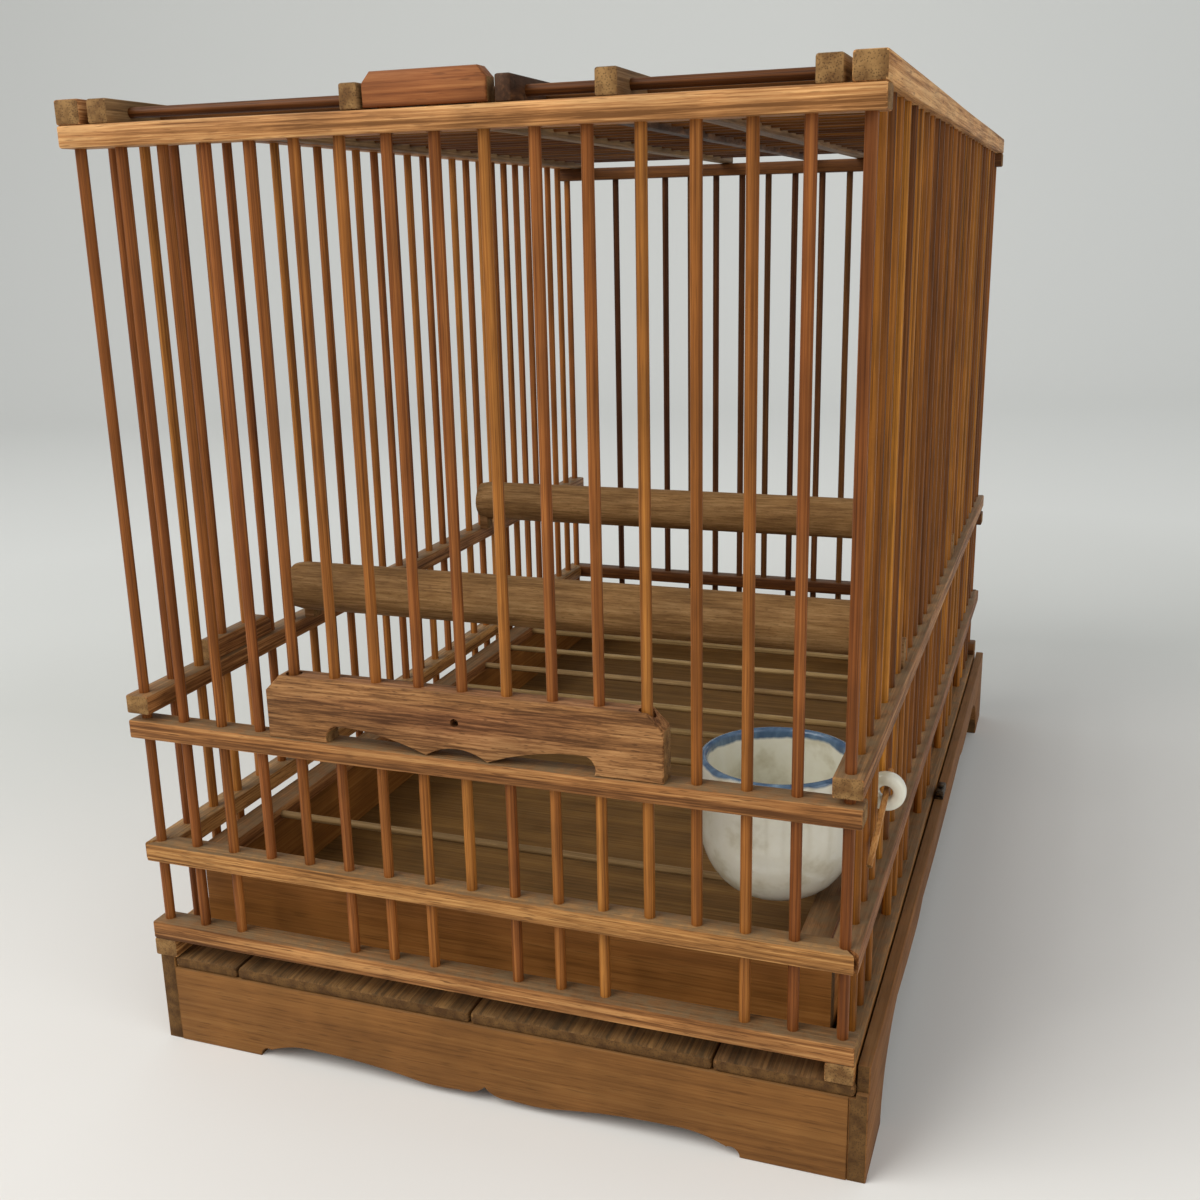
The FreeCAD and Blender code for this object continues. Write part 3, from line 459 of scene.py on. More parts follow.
def islands(node):
    """The separate solids of a CAD node, each as its lowest and highest corner."""
    data = bmesh.new()
    data.from_mesh(frame["nodes"][node].data)
    bmesh.ops.remove_doubles(data, verts=data.verts, dist=WELD_DISTANCE)
    seen = set()
    boxes = []
    for start in data.verts:
        if start in seen:
            continue
        seen.add(start)
        stack = [start]
        spots = []
        while stack:
            vert = stack.pop()
            spots.append(vert.co.copy())
            for edge in vert.link_edges:
                other = edge.other_vert(vert)
                if other not in seen:
                    seen.add(other)
                    stack.append(other)
        low = Vector(min(spot[i] for spot in spots) for i in range(3))
        high = Vector(max(spot[i] for spot in spots) for i in range(3))
        boxes.append((low, high))
    data.free()
    return boxes


def join_loops(data, loops):
    """Faces between closed loops of equally many points."""
    for first, second in zip(loops, loops[1:]):
        sides = len(first)
        for number in range(sides):
            following = (number + 1) % sides
            data.faces.new((first[number], first[following], second[following], second[number]))


ROD_ROUGHNESS = 0.04
TIP_GIRTH = 0.72


def add_rod(data, start, finish, radius, tint_layer, rings, bend=ROD_BEND, rough=ROD_ROUGHNESS):
    """A hand-shaved rod: not quite round, not quite straight, its ends eased."""
    direction = (finish - start).normalized()
    length = (finish - start).length
    side = direction.orthogonal().normalized()
    other = direction.cross(side)
    lean = random.uniform(0, PHASES)
    amount = random.uniform(0.2, 1.0) * bend
    flats = [1.0 - rough * random.random() for _ in range(ROD_SIDES)]
    tint = random.random()
    full = length - 2 * FINE_ROUND
    stations = [(0.0, TIP_GIRTH)]
    stations += [(FINE_ROUND + full * i / rings, 1.0) for i in range(rings + 1)]
    stations += [(length, TIP_GIRTH)]
    loops = []
    for along, girth in stations:
        share = along / length
        sag = math.sin(math.pi * share) * amount
        centre = start + direction * along + (side * math.cos(lean) + other * math.sin(lean)) * sag
        swell = 1.0 - rough * 0.6 * random.random()
        ring = []
        for number in range(ROD_SIDES):
            turn = 2 * math.pi * number / ROD_SIDES
            reach = radius * girth * flats[number] * swell
            vert = data.verts.new(centre + (side * math.cos(turn) + other * math.sin(turn)) * reach)
            vert[tint_layer] = tint
            ring.append(vert)
        loops.append(ring)
    join_loops(data, loops)
    for cap in (list(reversed(loops[0])), loops[-1]):
        data.faces.new(cap).material_index = END_SLOT


def rods(node, axis, material, rings):
    """All rods of a CAD node, found from its separate solids."""
    index = "xyz".index(axis)
    data = bmesh.new()
    layer = data.verts.layers.float.new("tint")
    for low, high in islands(node):
        middle = (low + high) / 2
        start = middle.copy()
        finish = middle.copy()
        start[index] = low[index]
        finish[index] = high[index]
        radius = (high[(index + 1) % 3] - low[(index + 1) % 3]) / 2
        add_rod(data, start, finish, radius, layer, rings)
    return piece(f"{node}_cane", data, [material, "end"], [node])


def through(first, middle, last):
    """Points on the arc through three points that don't lie in a line, without the first."""
    ax, ay = first
    bx, by = middle
    cx, cy = last
    double = 2 * (ax * (by - cy) + bx * (cy - ay) + cx * (ay - by))
    sa = ax * ax + ay * ay
    sb = bx * bx + by * by
    sc = cx * cx + cy * cy
    ux = (sa * (by - cy) + sb * (cy - ay) + sc * (ay - by)) / double
    uy = (sa * (cx - bx) + sb * (ax - cx) + sc * (bx - ax)) / double
    radius = math.hypot(ax - ux, ay - uy)
    begin = math.atan2(ay - uy, ax - ux)
    halfway = (math.atan2(by - uy, bx - ux) - begin) % (2 * math.pi)
    end = (math.atan2(cy - uy, cx - ux) - begin) % (2 * math.pi)
    if halfway > end:
        end -= 2 * math.pi
    turns = [begin + end * i / ARC_STEPS for i in range(1, ARC_STEPS + 1)]
    return [(ux + radius * math.cos(turn), uy + radius * math.sin(turn)) for turn in turns]


def via(u, v):
    """A point that an arc passes through."""
    return ("via", u, v)


def mirrored(half):
    """Complete an outline edge whose last point lies in the middle."""
    other = []
    for point in reversed(half[:-1]):
        if point[0] == "via":
            other.append(via(1 - point[1], point[2]))
        else:
            other.append((1 - point[0], point[1]))
    return half + other


def outline_points(path, width, height):
    """Outline in metres from share points; arcs are cut into steps."""
    result = []
    middle = None
    for point in path:
        if point[0] == "via":
            middle = (point[1] * width, point[2] * height)
            continue
        spot = (point[0] * width, point[1] * height)
        if middle is None:
            result.append(spot)
        else:
            result.extend(through(result[-1], middle, spot))
            middle = None
    return result


def add_board(data, points, corner, thickness, facing, round_size=FINE_ROUND):
    """A flat board with the outline as its face: facing x lies in XZ, facing y lies in YZ."""
    def spot(point, depth):
        if facing == "x":
            return corner + Vector((point[0], depth, point[1]))
        return corner + Vector((depth, point[0], point[1]))
    near = [data.verts.new(spot(point, 0.0)) for point in points]
    far = [data.verts.new(spot(point, thickness)) for point in points]
    count = len(points)
    made = [data.faces.new(near), data.faces.new(list(reversed(far)))]
    for number in range(count):
        following = (number + 1) % count
        made.append(data.faces.new((near[following], near[number], far[number], far[following])))
    data.normal_update()
    rim = [edge for face in made[:2] for edge in face.edges]
    bmesh.ops.bevel(data, geom=rim, offset=round_size, segments=EDGE_STEPS, profile=0.5, affect="EDGES",
                    clamp_overlap=True)
    bmesh.ops.recalc_face_normals(data, faces=data.faces)


def subtract(shown, cutter_data):
    """Cut the closed form out of a finished piece."""
    mesh = bpy.data.meshes.new("cutter")
    cutter_data.to_mesh(mesh)
    cutter_data.free()
    cutter = bpy.data.objects.new("cutter", mesh)
    bpy.context.scene.collection.objects.link(cutter)
    cut = shown.modifiers.new("hole", "BOOLEAN")
    cut.object = cutter
    cut.operation = "DIFFERENCE"
    cut.solver = "EXACT"
    bpy.context.view_layer.update()
    done = bpy.data.meshes.new_from_object(shown.evaluated_get(bpy.context.evaluated_depsgraph_get()))
    shown.modifiers.clear()
    shown.data = done
    bpy.data.objects.remove(cutter)


def bore(shown, centre, radius, depth, axis):
    """Cut a round hole into a finished piece."""
    drill = bmesh.new()
    bmesh.ops.create_cone(drill, cap_ends=True, segments=BORE_SIDES, radius1=radius, radius2=radius,
                          depth=depth)
    if axis == "y":
        bmesh.ops.rotate(drill, verts=drill.verts, matrix=Matrix.Rotation(math.pi / 2, 3, "X"))
    bmesh.ops.translate(drill, verts=drill.verts, vec=centre)
    subtract(shown, drill)


# Base boards

FRONT_EDGE_SHARES = mirrored([
    (0.0, 0.0), (0.138, 0.0), via(0.141, 0.35), (0.156, 0.48), via(0.190, 0.90), (0.235, 1.0),
    via(0.315, 0.88), (0.400, 0.48), via(0.430, 0.42), (0.460, 0.50), via(0.488, 0.62), (0.500, 0.95),
])
SIDE_EDGE_SHARES = mirrored([
    (0.0, 0.0), (0.071, 0.0), via(0.080, 0.46), (0.105, 0.78), via(0.122, 0.90), (0.150, 1.0),
    via(0.210, 0.93), (0.270, 0.90), via(0.300, 0.93), (0.320, 1.0), via(0.410, 0.955), (0.500, 0.95),
])
FRONT_ARCH = 6.3 * MM
SIDE_ARCH = 27.0 * MM
LIP_SETBACK = 2.5 * MM
LIP_FOOT = 30.3 * MM
PLANK_GAP = 0.3 * MM
STEP_REACH = 5.0 * MM
DECK_ROUND = 1.3 * MM
DECK_SWAY = 0.25 * MM
DECK_CUTS = 14


def base_board(node, edge, arch, facing, lip_front=()):
    """A board with its arch; lip_front holds the points where its top steps down to the front."""
    low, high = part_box(node)
    index = 0 if facing == "x" else 1
    length = (high - low)[index]
    thickness = (high - low)[1 - index]
    data = bmesh.new()
    points = outline_points(edge, length, arch) + [(length, high.z)]
    points += list(lip_front) or [(0.0, high.z)]
    add_board(data, points, low.copy(), thickness, facing)
    mark_ends(data, facing)
    return piece(f"{node}_wood", data, [f"base_{facing}", "dark_end"], [node])


def right_board():
    """The board with the raised lip: the deck lies in a step along its inner side."""
    deck_low, deck_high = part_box("deck_plank_4")
    low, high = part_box("base_right_board")
    front = [(LIP_SETBACK, high.z), (LIP_SETBACK - EDGE_ROUND, LIP_FOOT), (0.0, LIP_FOOT)]
    shown = base_board("base_right_board", SIDE_EDGE_SHARES, SIDE_ARCH, "y", front)
    step = bmesh.new()
    step_low = Vector((low.x - STEP_REACH, low.y - STEP_REACH, deck_low.z))
    step_high = Vector((deck_high.x + PLANK_GAP, high.y + STEP_REACH, high.z + STEP_REACH))
    add_cube(step, step_low, step_high)
    subtract(shown, step)


base_board("base_front_board", FRONT_EDGE_SHARES, FRONT_ARCH, "x")
base_board("base_back_board", FRONT_EDGE_SHARES, FRONT_ARCH, "x")
base_board("base_left_board", SIDE_EDGE_SHARES, SIDE_ARCH, "y")
right_board()
for number in range(1, 5):
    plank(f"deck_plank_{number}", "y", ["deck", "dark_end"], DECK_ROUND, DECK_CUTS, DECK_SWAY)

# Tray and its floor grid

plank("tray_floor", "x", ["tray_floor", "dark_end"], FINE_ROUND)
for wall, letter in zip(WALLS, "xxyy"):
    plank(f"tray_{wall}_wall", letter, [f"tray_{letter}", "dark_end"], FINE_ROUND)
for side in ("left", "right"):
    plank(f"grid_{side}_rail", "y", ["rail_y", "end"])
rods("grid_sticks", "x", "stick", ROD_RINGS)

# Rails of the cage

# The back wall's rails take the darker copy of the rail cane, which is painted shade
RAIL_LOOKS = {"front": "rail_x", "back": "rail_painted_shade", "left": "rail_y", "right": "rail_y"}
MITRE_LAND = 1.2 * MM
RUNNING_GAP = 0.4 * MM

rails = {}
for wall, letter in zip(WALLS, "xxyy"):
    for level in ("bottom", "middle", "top"):
        name = f"{wall}_{level}_rail"
        look = RAIL_LOOKS[wall]
        # The top rails, except the back wall's, take the lighter copy of the rail cane, which is painted
        # light
        if level == "top" and wall != "back":
            look = f"top_{look}"
        rails[name] = plank(name, letter, [look, "end"], EDGE_ROUND, RAIL_CUTS, RAIL_SWAY)


def mitred_rail(wall, letter):
    """A rail of the low frame with its ends cut to the corner line."""
    node = f"{wall}_lower_rail"
    low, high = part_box(node)
    index = "xy".index(letter)
    outer_is_low = wall in ("front", "left")
    data = bmesh.new()
    add_box(data, low, high, EDGE_ROUND, EDGE_STEPS, letter, RAIL_CUTS, RAIL_SWAY)
    for vert in data.verts:
        across = vert.co[1 - index]
        inward = (across - low[1 - index]) if outer_is_low else (high[1 - index] - across)
        limit = inward + (MITRE_LAND if inward < MITRE_LAND else 0.0)
        vert.co[index] = min(max(vert.co[index], low[index] + limit), high[index] - limit)
    return piece(f"{node}_wood", data, [RAIL_LOOKS[wall], "end"], [node])


for wall, letter in zip(WALLS, "xxyy"):
    mitred_rail(wall, letter)


def sliding_holes(rail_name, bars_name):
    """Drill the rail for the door's bars, which slide through it."""
    rail_low, rail_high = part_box(rail_name)
    middle_z = (rail_low.z + rail_high.z) / 2
    depth = (rail_high.z - rail_low.z) * 2
    drill = bmesh.new()
    for low, high in islands(bars_name):
        radius = (high.x - low.x) / 2 + RUNNING_GAP
        made = bmesh.ops.create_cone(drill, cap_ends=True, segments=SLIDING_HOLE_SIDES, radius1=radius,
                                     radius2=radius, depth=depth)
        centre = Vector(((low.x + high.x) / 2, (low.y + high.y) / 2, middle_z))
        bmesh.ops.translate(drill, verts=made["verts"], vec=centre)
    subtract(rails[rail_name], drill)


sliding_holes("front_top_rail", "door_bars")
sliding_holes("left_top_rail", "left_door_bars")

# Upright bars

for node in ("front_bars", "left_bars", "corner_bars", "door_bars", "left_door_bars"):
    rods(node, "z", "bar_z", BAR_RINGS)
rods("right_bars", "z", "bar_right", BAR_RINGS)
# The back wall's bars take the darker copy of the bar cane, which is painted shade
rods("back_bars", "z", "bar_painted_shade", BAR_RINGS)

# Front door plate and its lifting block

DOOR_EDGE_SHARES = mirrored([
    (0.0, 0.0), (0.162, 0.0), via(0.164, 0.19), (0.185, 0.28), via(0.300, 0.22), (0.422, 0.0),
    via(0.460, 0.115), (0.500, 0.154),
])
DOOR_TOP_SHARES = [(1.0, 0.755), (0.961, 1.0), (0.039, 1.0), (0.0, 0.755)]
BLOCK_SHARES = [(0.0, 0.0), (1.0, 0.0), (1.0, 0.68), (0.93, 1.0), (0.07, 1.0), (0.0, 0.68)]
LEFT_DOOR_SHARES = [(0.0, 0.0), (1.0, 0.0), (1.0, 0.70), (0.93, 1.0), (0.0, 1.0)]
KNOB_HOLE_RADIUS = 1.4 * MM
KNOB_HOLE_RISE = 12 * MM
KNOB_DRILL_LENGTH = 6 * MM
GUIDE_HOLE_RADIUS = 2.7 * MM
GUIDE_REACH = 60.0 * MM
GUIDE_DRILL_LENGTH = 44 * MM


def carved(node, shares, facing):
    """The form of a board in the place of a CAD node, with its outline given in shares."""
    low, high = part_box(node)
    size = high - low
    index = 0 if facing == "x" else 1
    data = bmesh.new()
    points = outline_points(shares, size[index], size.z)
    add_board(data, points, low.copy(), size[1 - index], facing, EDGE_ROUND)
    mark_ends(data, facing)
    return data


plate_low, plate_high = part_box("door_plate")
plate_data = carved("door_plate", DOOR_EDGE_SHARES + DOOR_TOP_SHARES, "x")
door_plate = piece("door_plate_wood", plate_data, ["plate", "end"], ["door_plate"], tint=0.6)
knob_hole = Vector(((plate_low.x + plate_high.x) / 2, plate_low.y, plate_low.z + KNOB_HOLE_RISE))
bore(door_plate, knob_hole, KNOB_HOLE_RADIUS, KNOB_DRILL_LENGTH, "y")
for side in (-1, 1):
    guide_hole = Vector((CAGE_X + side * GUIDE_REACH, FRONT_Y, plate_high.z))
    bore(door_plate, guide_hole, GUIDE_HOLE_RADIUS, GUIDE_DRILL_LENGTH, "z")
block_data = carved("door_lift_block", BLOCK_SHARES, "x")
piece("door_lift_block_wood", block_data, ["block", "end"], ["door_lift_block"], tint=0.5)
left_data = carved("left_door_plate", LEFT_DOOR_SHARES, "y")
piece("left_door_plate_wood", left_data, ["rail_y", "end"], ["left_door_plate"], tint=0.35)

# Roof panel

for part in ("left", "mid_left", "mid_right", "right"):
    # Battens: dusty grey-brown cane that is also darkened as painted shade
    plank(f"roof_batten_{part}", "y", ["batten", "end"])
plank("roof_batten_centre", "y", ["stained", "stained"])
# The roof rods take the darker cane, which is painted shade
rods("roof_rods", "x", "bar_x_painted_shade", ROD_RINGS)

# Perches

PERCH_RADIUS = 9.6 * MM
PERCH_RINGS = 60
PERCH_SIDES = 28
PERCH_END_GIRTH = 0.93
RIDGE_GIRTH = 0.985
RIDGE_DEPTH = 0.012
RIDGE_GRAIN = 0.004
TONGUE_REACH = 5.8 * MM
TONGUE_SUNK = 5.2 * MM
LEFT_TONGUE = (0.1 * MM, 4.5 * MM)
TONGUE_WIDTH = 6 * MM
TONGUE_HEIGHT = 10 * MM
TONGUE_STARTS = {"perch_front": 2.6 * MM, "perch_back": -5.2 * MM}


def perch(node):
    """A round branch-like bar, faintly ridged along its length, with a tongue at each end."""
    low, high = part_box(node)
    left = low.x
    right = high.x - TONGUE_REACH
    centre_y = low.y + PERCH_RADIUS
    centre_z = high.z - PERCH_RADIUS
    data = bmesh.new()
    layer = data.verts.layers.float.new("tint")
    loops = []
    for ring_number in range(PERCH_RINGS + 1):
        share = ring_number / PERCH_RINGS
        x = left + (right - left) * share
        girth = PERCH_END_GIRTH if ring_number in (0, PERCH_RINGS) else 1.0
        ring = []
        for number in range(PERCH_SIDES):
            turn = 2 * math.pi * number / PERCH_SIDES
            ridge = RIDGE_GIRTH + RIDGE_DEPTH * math.sin(number * 5.1 + share * 4)
            ridge += RIDGE_GRAIN * random.random()
            reach = PERCH_RADIUS * girth * min(ridge, 1.0)
            vert = data.verts.new((x, centre_y + math.cos(turn) * reach, centre_z + math.sin(turn) * reach))
            vert[layer] = 0.5
            ring.append(vert)
        loops.append(ring)
    join_loops(data, loops)
    data.faces.new(loops[0])
    data.faces.new(list(reversed(loops[-1])))
    bmesh.ops.recalc_face_normals(data, faces=data.faces)
    tongue_y = centre_y + TONGUE_STARTS[node]
    for start, finish in ((left + LEFT_TONGUE[0], left + LEFT_TONGUE[1]), (right - TONGUE_SUNK, high.x)):
        corner = Vector((start, tongue_y, low.z))
        far_corner = Vector((finish, tongue_y + TONGUE_WIDTH, low.z + TONGUE_HEIGHT))
        add_box(data, corner, far_corner, FINE_ROUND)
    mark_ends(data, "x")
    return piece(f"{node}_wood", data, ["perch", "end"], [node], tint=0.5)


perch("perch_front")
perch("perch_back")

# Feeding cup

CUP_ROUND = 24.0 * MM
CUP_FOOT = 9.0 * MM
CUP_FOOT_EDGE = 0.25 * MM
CUP_FOOT_SHARE = 0.9
CUP_BELLY_SHARE = 0.72
CUP_BELLY_INSET = 0.25 * MM
CUP_RIM_INSET = 0.1 * MM
CUP_RIM_THINNING = 0.2 * MM
CUP_LIP = 1.35 * MM
CUP_LIP_DEPTH = 4 * MM
CUP_STEPS = 12
LIP_STEPS = 8
EAR_RADIUS = 6.4 * MM
EAR_HOLE_RADIUS = 2.2 * MM
EAR_LEVEL = 104.5 * MM
EAR_DEPTH = 52.0 * MM
EAR_HALF_WIDTH = 2.5 * MM
EAR_SQUARENESS = 0.6
EAR_AROUND = 40
EAR_STEPS = 16
NECK_HALF_WIDTH = 2.2 * MM
NECK_HALF_HEIGHT = 3.3 * MM
NECK_GAP = 0.6 * MM
NECK_ROUND = 1.4 * MM
NECK_ROUND_STEPS = 4
PEG_SLOPE = math.radians(18)
PEG_RINGS = 9
PEG_BEND = 0.15 * MM
PEG_ROUGHNESS = 0.16


def lathe(data, profile, centre, sides=64):
    """Turn a profile of radius and height around an upright axis."""
    loops = []
    for radius, level in profile:
        if radius == 0.0:
            loops.append([data.verts.new(centre + Vector((0, 0, level)))])
            continue
        loops.append([
            data.verts.new(centre + Vector((radius * math.cos(2 * math.pi * i / sides),
                                            radius * math.sin(2 * math.pi * i / sides), level)))
            for i in range(sides)
        ])
    for first, second in zip(loops, loops[1:]):
        for i in range(sides):
            following = (i + 1) % sides
            if len(first) == 1:
                data.faces.new((first[0], second[i], second[following]))
            elif len(second) == 1:
                data.faces.new((first[i], first[following], second[0]))
            else:
                data.faces.new((first[i], first[following], second[following], second[i]))


def bowl(radius, rise, level):
    """The round from the foot to the wall, as points of radius and height."""
    turns = [math.pi / 2 * step / CUP_STEPS for step in range(1, CUP_STEPS + 1)]
    return [(CUP_FOOT + (radius - CUP_FOOT) * math.sin(turn), level + rise * (1 - math.cos(turn)))
            for turn in turns]


def cup_profile(height):
    """Up the outside, over the lip and down the inside, as points of radius and height."""
    profile = [(0.0, 0.0), (CUP_FOOT * CUP_FOOT_SHARE, 0.0), (CUP_FOOT, CUP_FOOT_EDGE)]
    profile += bowl(CUP_RADIUS, CUP_ROUND, 0.0)
    profile.append((CUP_RADIUS - CUP_BELLY_INSET, height * CUP_BELLY_SHARE))
    profile.append((CUP_RADIUS - CUP_RIM_INSET, height - CUP_LIP_DEPTH))
    for step in range(LIP_STEPS + 1):
        turn = math.pi * step / LIP_STEPS
        profile.append((CUP_RADIUS - CUP_LIP + CUP_LIP * math.cos(turn),
                        height - CUP_LIP + CUP_LIP * math.sin(turn)))
    profile.append((CUP_INNER_RADIUS + CUP_RIM_THINNING, height - CUP_LIP_DEPTH))
    profile += reversed(bowl(CUP_INNER_RADIUS, CUP_ROUND - CUP_WALL, CUP_WALL))
    profile.append((0.0, CUP_WALL))
    return profile


def squarish(value):
    """A sine or cosine drawn out towards a square's."""
    return math.copysign(abs(value) ** EAR_SQUARENESS, value)


def add_ear(data, centre):
    """A thick ring that stands across the bars, with a neck that joins it to the cup."""
    middle_radius = (EAR_RADIUS + EAR_HOLE_RADIUS) / 2
    half_wall = (EAR_RADIUS - EAR_HOLE_RADIUS) / 2
    section = []
    for step in range(EAR_STEPS):
        turn = 2 * math.pi * step / EAR_STEPS
        section.append((middle_radius + half_wall * squarish(math.cos(turn)),
                        EAR_HALF_WIDTH * squarish(math.sin(turn))))
    rings = []
    for number in range(EAR_AROUND):
        turn = 2 * math.pi * number / EAR_AROUND
        rings.append([
            data.verts.new(centre + Vector((radius * math.cos(turn), depth, radius * math.sin(turn))))
            for radius, depth in section
        ])
    join_loops(data, rings + rings[:1])
    half_neck = Vector((0, NECK_HALF_WIDTH, NECK_HALF_HEIGHT))
    neck_start = Vector((cup_centre.x + CUP_INNER_RADIUS, centre.y, centre.z))
    neck_end = Vector((centre.x - EAR_HOLE_RADIUS - NECK_GAP, centre.y, centre.z))
    add_box(data, neck_start - half_neck, neck_end + half_neck, NECK_ROUND, NECK_ROUND_STEPS)


def feeding_cup():
    """The glazed cup with its ear."""
    data = bmesh.new()
    lathe(data, cup_profile(cup_high.z - cup_low.z), cup_centre)
    add_ear(data, Vector((cup_high.x - EAR_RADIUS, FRONT_Y + EAR_DEPTH, EAR_LEVEL)))
    bmesh.ops.recalc_face_normals(data, faces=data.faces)
    return piece("feeding_cup_ware", data, ["glaze"], ["feeding_cup"])


feeding_cup()


def cup_peg():
    """The stick that leans through the ear."""
    low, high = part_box("cup_peg")
    radius = (high.x - low.x) / 2
    x = (low.x + high.x) / 2
    inset = Vector((0, radius * math.sin(PEG_SLOPE), radius * math.cos(PEG_SLOPE)))
    start = Vector((x, low.y, low.z)) + inset
    finish = Vector((x, high.y, high.z)) - inset
    data = bmesh.new()
    layer = data.verts.layers.float.new("tint")
    add_rod(data, start, finish, radius, layer, PEG_RINGS, PEG_BEND, PEG_ROUGHNESS)
    return piece("cup_peg_cane", data, ["peg", "end"], ["cup_peg"])


cup_peg()

# Turn catch on the lip

PLATE_ROUND = 0.25 * MM
BUTTON_ROUND = 0.8 * MM
BRASS_STEPS = 3
BRASS_CUTS = 4
BRASS_SWAY = 0.05 * MM
PIN_RADIUS = 0.9 * MM
PIN_HEAD_HEIGHT = 0.9 * MM
PIN_HEAD_EDGE = 0.85 * MM
PIN_DOME = 0.7 * MM
PIN_SIDES = 24
DOME_STEPS = 6


def brass_piece(node, round_size):
    low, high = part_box(node)
    data = bmesh.new()
    add_box(data, low, high, round_size, BRASS_STEPS, "y", BRASS_CUTS, BRASS_SWAY)
    return piece(f"{node}_metal", data, ["brass"], [node])


brass_piece("catch_plate", PLATE_ROUND)
brass_piece("catch_button", BUTTON_ROUND)


def catch_pin():
    """The pin with its domed head."""
    low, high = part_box("catch_pin")
    centre = Vector(((low.x + high.x) / 2, (low.y + high.y) / 2, low.z))
    head = (high.x - low.x) / 2
    height = high.z - low.z
    profile = [(0.0, 0.0), (PIN_RADIUS, 0.0), (PIN_RADIUS, height - PIN_HEAD_HEIGHT)]
    profile.append((head, height - PIN_HEAD_EDGE))
    for step in range(DOME_STEPS):
        turn = math.pi / 2 * step / DOME_STEPS
        profile.append((head * math.cos(turn), height - PIN_DOME + PIN_DOME * math.sin(turn)))
    profile.append((0.0, height))
    data = bmesh.new()
    lathe(data, profile, centre, PIN_SIDES)
    bmesh.ops.recalc_face_normals(data, faces=data.faces)
    return piece("catch_pin_metal", data, ["brass"], ["catch_pin"])


catch_pin()

# Floor and backdrop in one sweep

# Paper colour with a greyer band of painted shade, and a left-to-right ramp of painted shade and light
PAPER_AND_SHADE_TONES = (srgb(222, 220, 216), srgb(202, 203, 199), srgb(216, 217, 214))
PAPER_DEPTHS = (-0.6, 1.4)
SIDE_PLACES = (-1.2, 0.4)
SIDE_LIGHT_AND_SHADE_TONES = (0.95, 1.13)
FOLD_SCALE = (1.6, 1.1, 1.6)
FOLD_WANDER = 0.16
SWEEP_TURN = math.radians(20)
SWEEP_STEPS = 16


def paper():
    """Pale paper with painted shade: a little greyer in the middle distance, painted darker to the left and
    lighter to the right.
    """
    shader = Shader("studio_paper")
    folds = shader.noise(FOLD_SCALE, detail=2.0)
    wander = shader.spread(folds, 0.3, 0.7, -FOLD_WANDER, FOLD_WANDER)
    place = shader.node("ShaderNodeTexCoord")
    split = shader.node("ShaderNodeSeparateXYZ")
    shader.link(place.outputs["Object"], split.inputs["Vector"])
    depth = shader.spread(shader.math("ADD", split.outputs["Y"], wander), *PAPER_DEPTHS)
    colour = shader.ramp(depth, (0.20, 0.42, 0.66), PAPER_AND_SHADE_TONES)
    toned = shader.node("ShaderNodeHueSaturation")
    shader.link(colour, toned.inputs["Color"])
    # Painted shade to the left and painted light to the right
    shader.link(shader.spread(split.outputs["X"], *SIDE_PLACES, *SIDE_LIGHT_AND_SHADE_TONES), toned.inputs["Value"])
    shader.link(toned.outputs["Color"], shader.surface.inputs["Base Color"])
    shader.surface.inputs["Roughness"].default_value = 0.9
    return shader.material


def studio():
    """A floor that bends up into the backdrop."""
    material = paper()
    data = bmesh.new()
    stations = [(-FLOOR_SIZE / 2, 0.0), (BACKDROP_DISTANCE, 0.0)]
    for step in range(1, SWEEP_STEPS + 1):
        turn = math.pi / 2 * step / SWEEP_STEPS
        stations.append((BACKDROP_DISTANCE + BACKDROP_CURVE * math.sin(turn),
                         BACKDROP_CURVE * (1 - math.cos(turn))))
    stations.append((BACKDROP_DISTANCE + BACKDROP_CURVE, BACKDROP_HEIGHT))
    rows = [
        (data.verts.new((-FLOOR_SIZE, y, z)), data.verts.new((FLOOR_SIZE, y, z))) for y, z in stations
    ]
    for first, second in zip(rows, rows[1:]):
        data.faces.new((first[0], first[1], second[1], second[0]))
    mesh = bpy.data.meshes.new("studio_sweep")
    data.to_mesh(mesh)
    data.free()
    mesh.shade_smooth()
    mesh.materials.append(material)
    sweep = bpy.data.objects.new("studio_sweep", mesh)
    bpy.context.scene.collection.objects.link(sweep)
    sweep.rotation_euler.z = SWEEP_TURN


studio()


# Soft light and the room

LIGHT_AIM = Vector((0, 0, 0.15))
ROOM_COLOUR = (0.96, 0.98, 1.0, 1.0)
ROOM_STRENGTH = 0.52


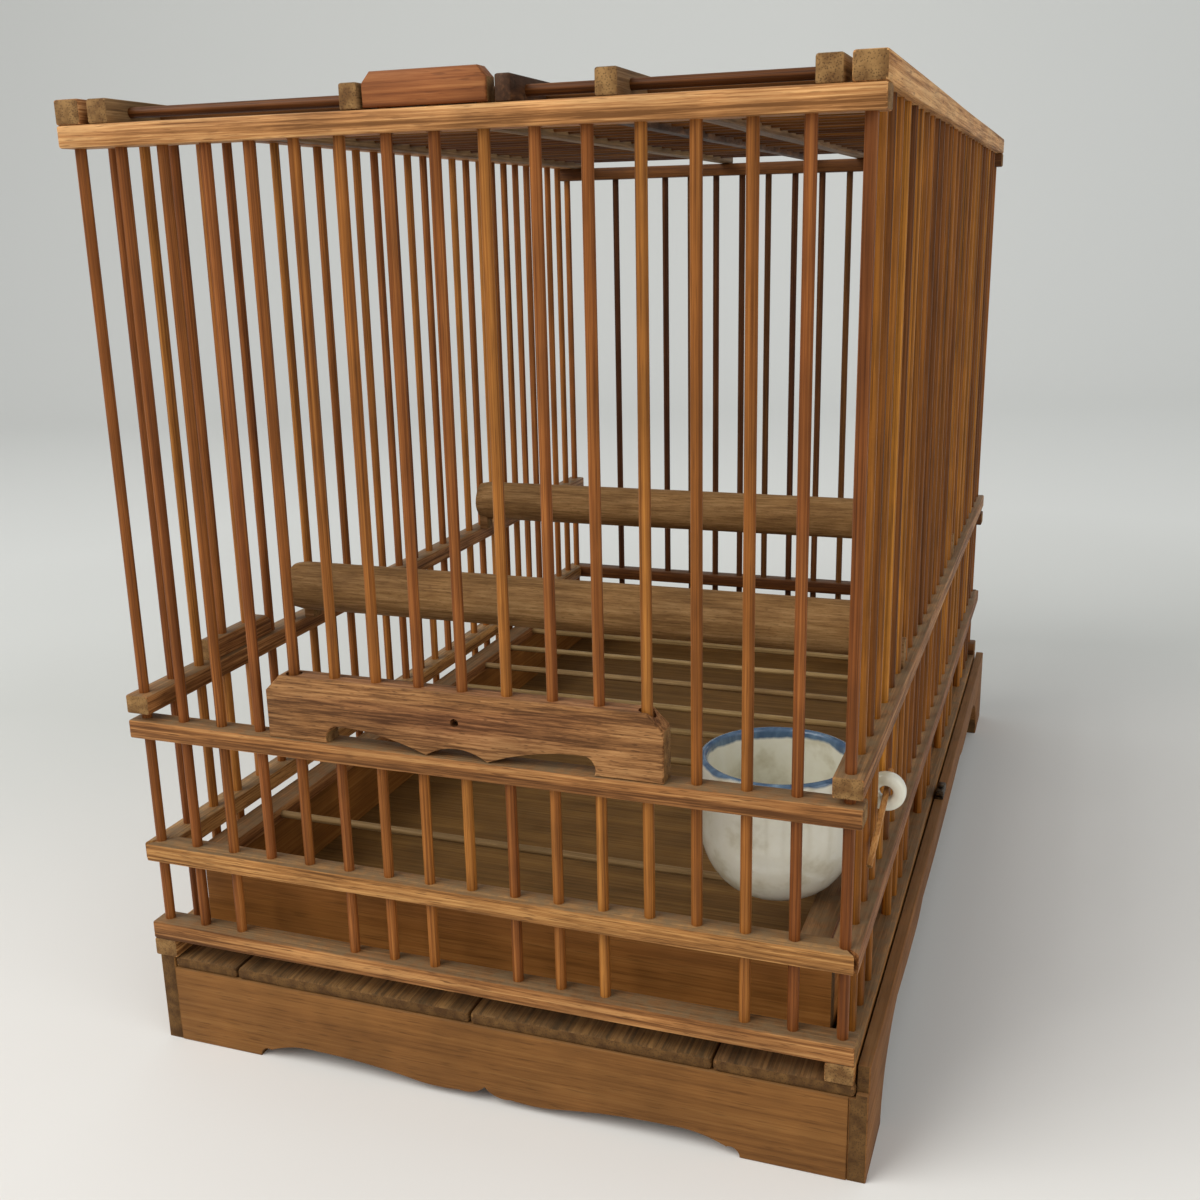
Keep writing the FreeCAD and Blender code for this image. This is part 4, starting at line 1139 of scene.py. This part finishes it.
def soft_light(name, place, size, power, tone):
    lamp = bpy.data.lights.new(name, "AREA")
    lamp.shape = "SQUARE"
    lamp.size = size
    lamp.energy = power
    lamp.color = tone
    shown = bpy.data.objects.new(name, lamp)
    shown.location = place
    shown.rotation_euler = (LIGHT_AIM - Vector(place)).to_track_quat("-Z", "Y").to_euler()
    bpy.context.scene.collection.objects.link(shown)


soft_light("key_light", place=(-1.1, -1.3, 1.7), size=1.7, power=42.0, tone=(1.0, 0.985, 0.955))
soft_light("fill_light", place=(1.6, -0.9, 1.0), size=1.6, power=9.0, tone=(1.0, 0.98, 0.95))
world = bpy.data.worlds.new("room")
bpy.context.scene.world = world
world.use_nodes = True
background = world.node_tree.nodes["Background"]
background.inputs["Color"].default_value = ROOM_COLOUR
background.inputs["Strength"].default_value = ROOM_STRENGTH

# Camera at the photograph's place

CAMERA_PLACE = Vector((CAGE_X + 0.17487, FRONT_Y - 0.35336, 0.2808))
CAMERA_SENSOR = 36.0
CAMERA_NEAR = 0.01
CAMERA_YAW = -0.35
CAMERA_PITCH = -0.271
CAMERA_ROLL = 0.021
FOCAL_PIXELS = 1342.2
FRAME_PIXELS = 1200

camera_data = bpy.data.cameras.new("photo_camera")
camera_data.sensor_width = CAMERA_SENSOR
camera_data.lens = CAMERA_SENSOR * FOCAL_PIXELS / FRAME_PIXELS
camera_data.clip_start = CAMERA_NEAR
camera = bpy.data.objects.new("photo_camera", camera_data)
forward = Vector((
    math.sin(CAMERA_YAW) * math.cos(CAMERA_PITCH),
    math.cos(CAMERA_YAW) * math.cos(CAMERA_PITCH),
    math.sin(CAMERA_PITCH),
))
level_right = Vector((math.cos(CAMERA_YAW), -math.sin(CAMERA_YAW), 0.0))
down = forward.cross(level_right)
right = level_right * math.cos(CAMERA_ROLL) + down * math.sin(CAMERA_ROLL)
up = level_right * math.sin(CAMERA_ROLL) - down * math.cos(CAMERA_ROLL)
turn = Matrix((right, up, -forward)).transposed()
camera.matrix_world = Matrix.Translation(CAMERA_PLACE) @ turn.to_4x4()
bpy.context.scene.collection.objects.link(camera)
bpy.context.scene.camera = camera

bpy.context.scene.view_settings.view_transform = "Standard"
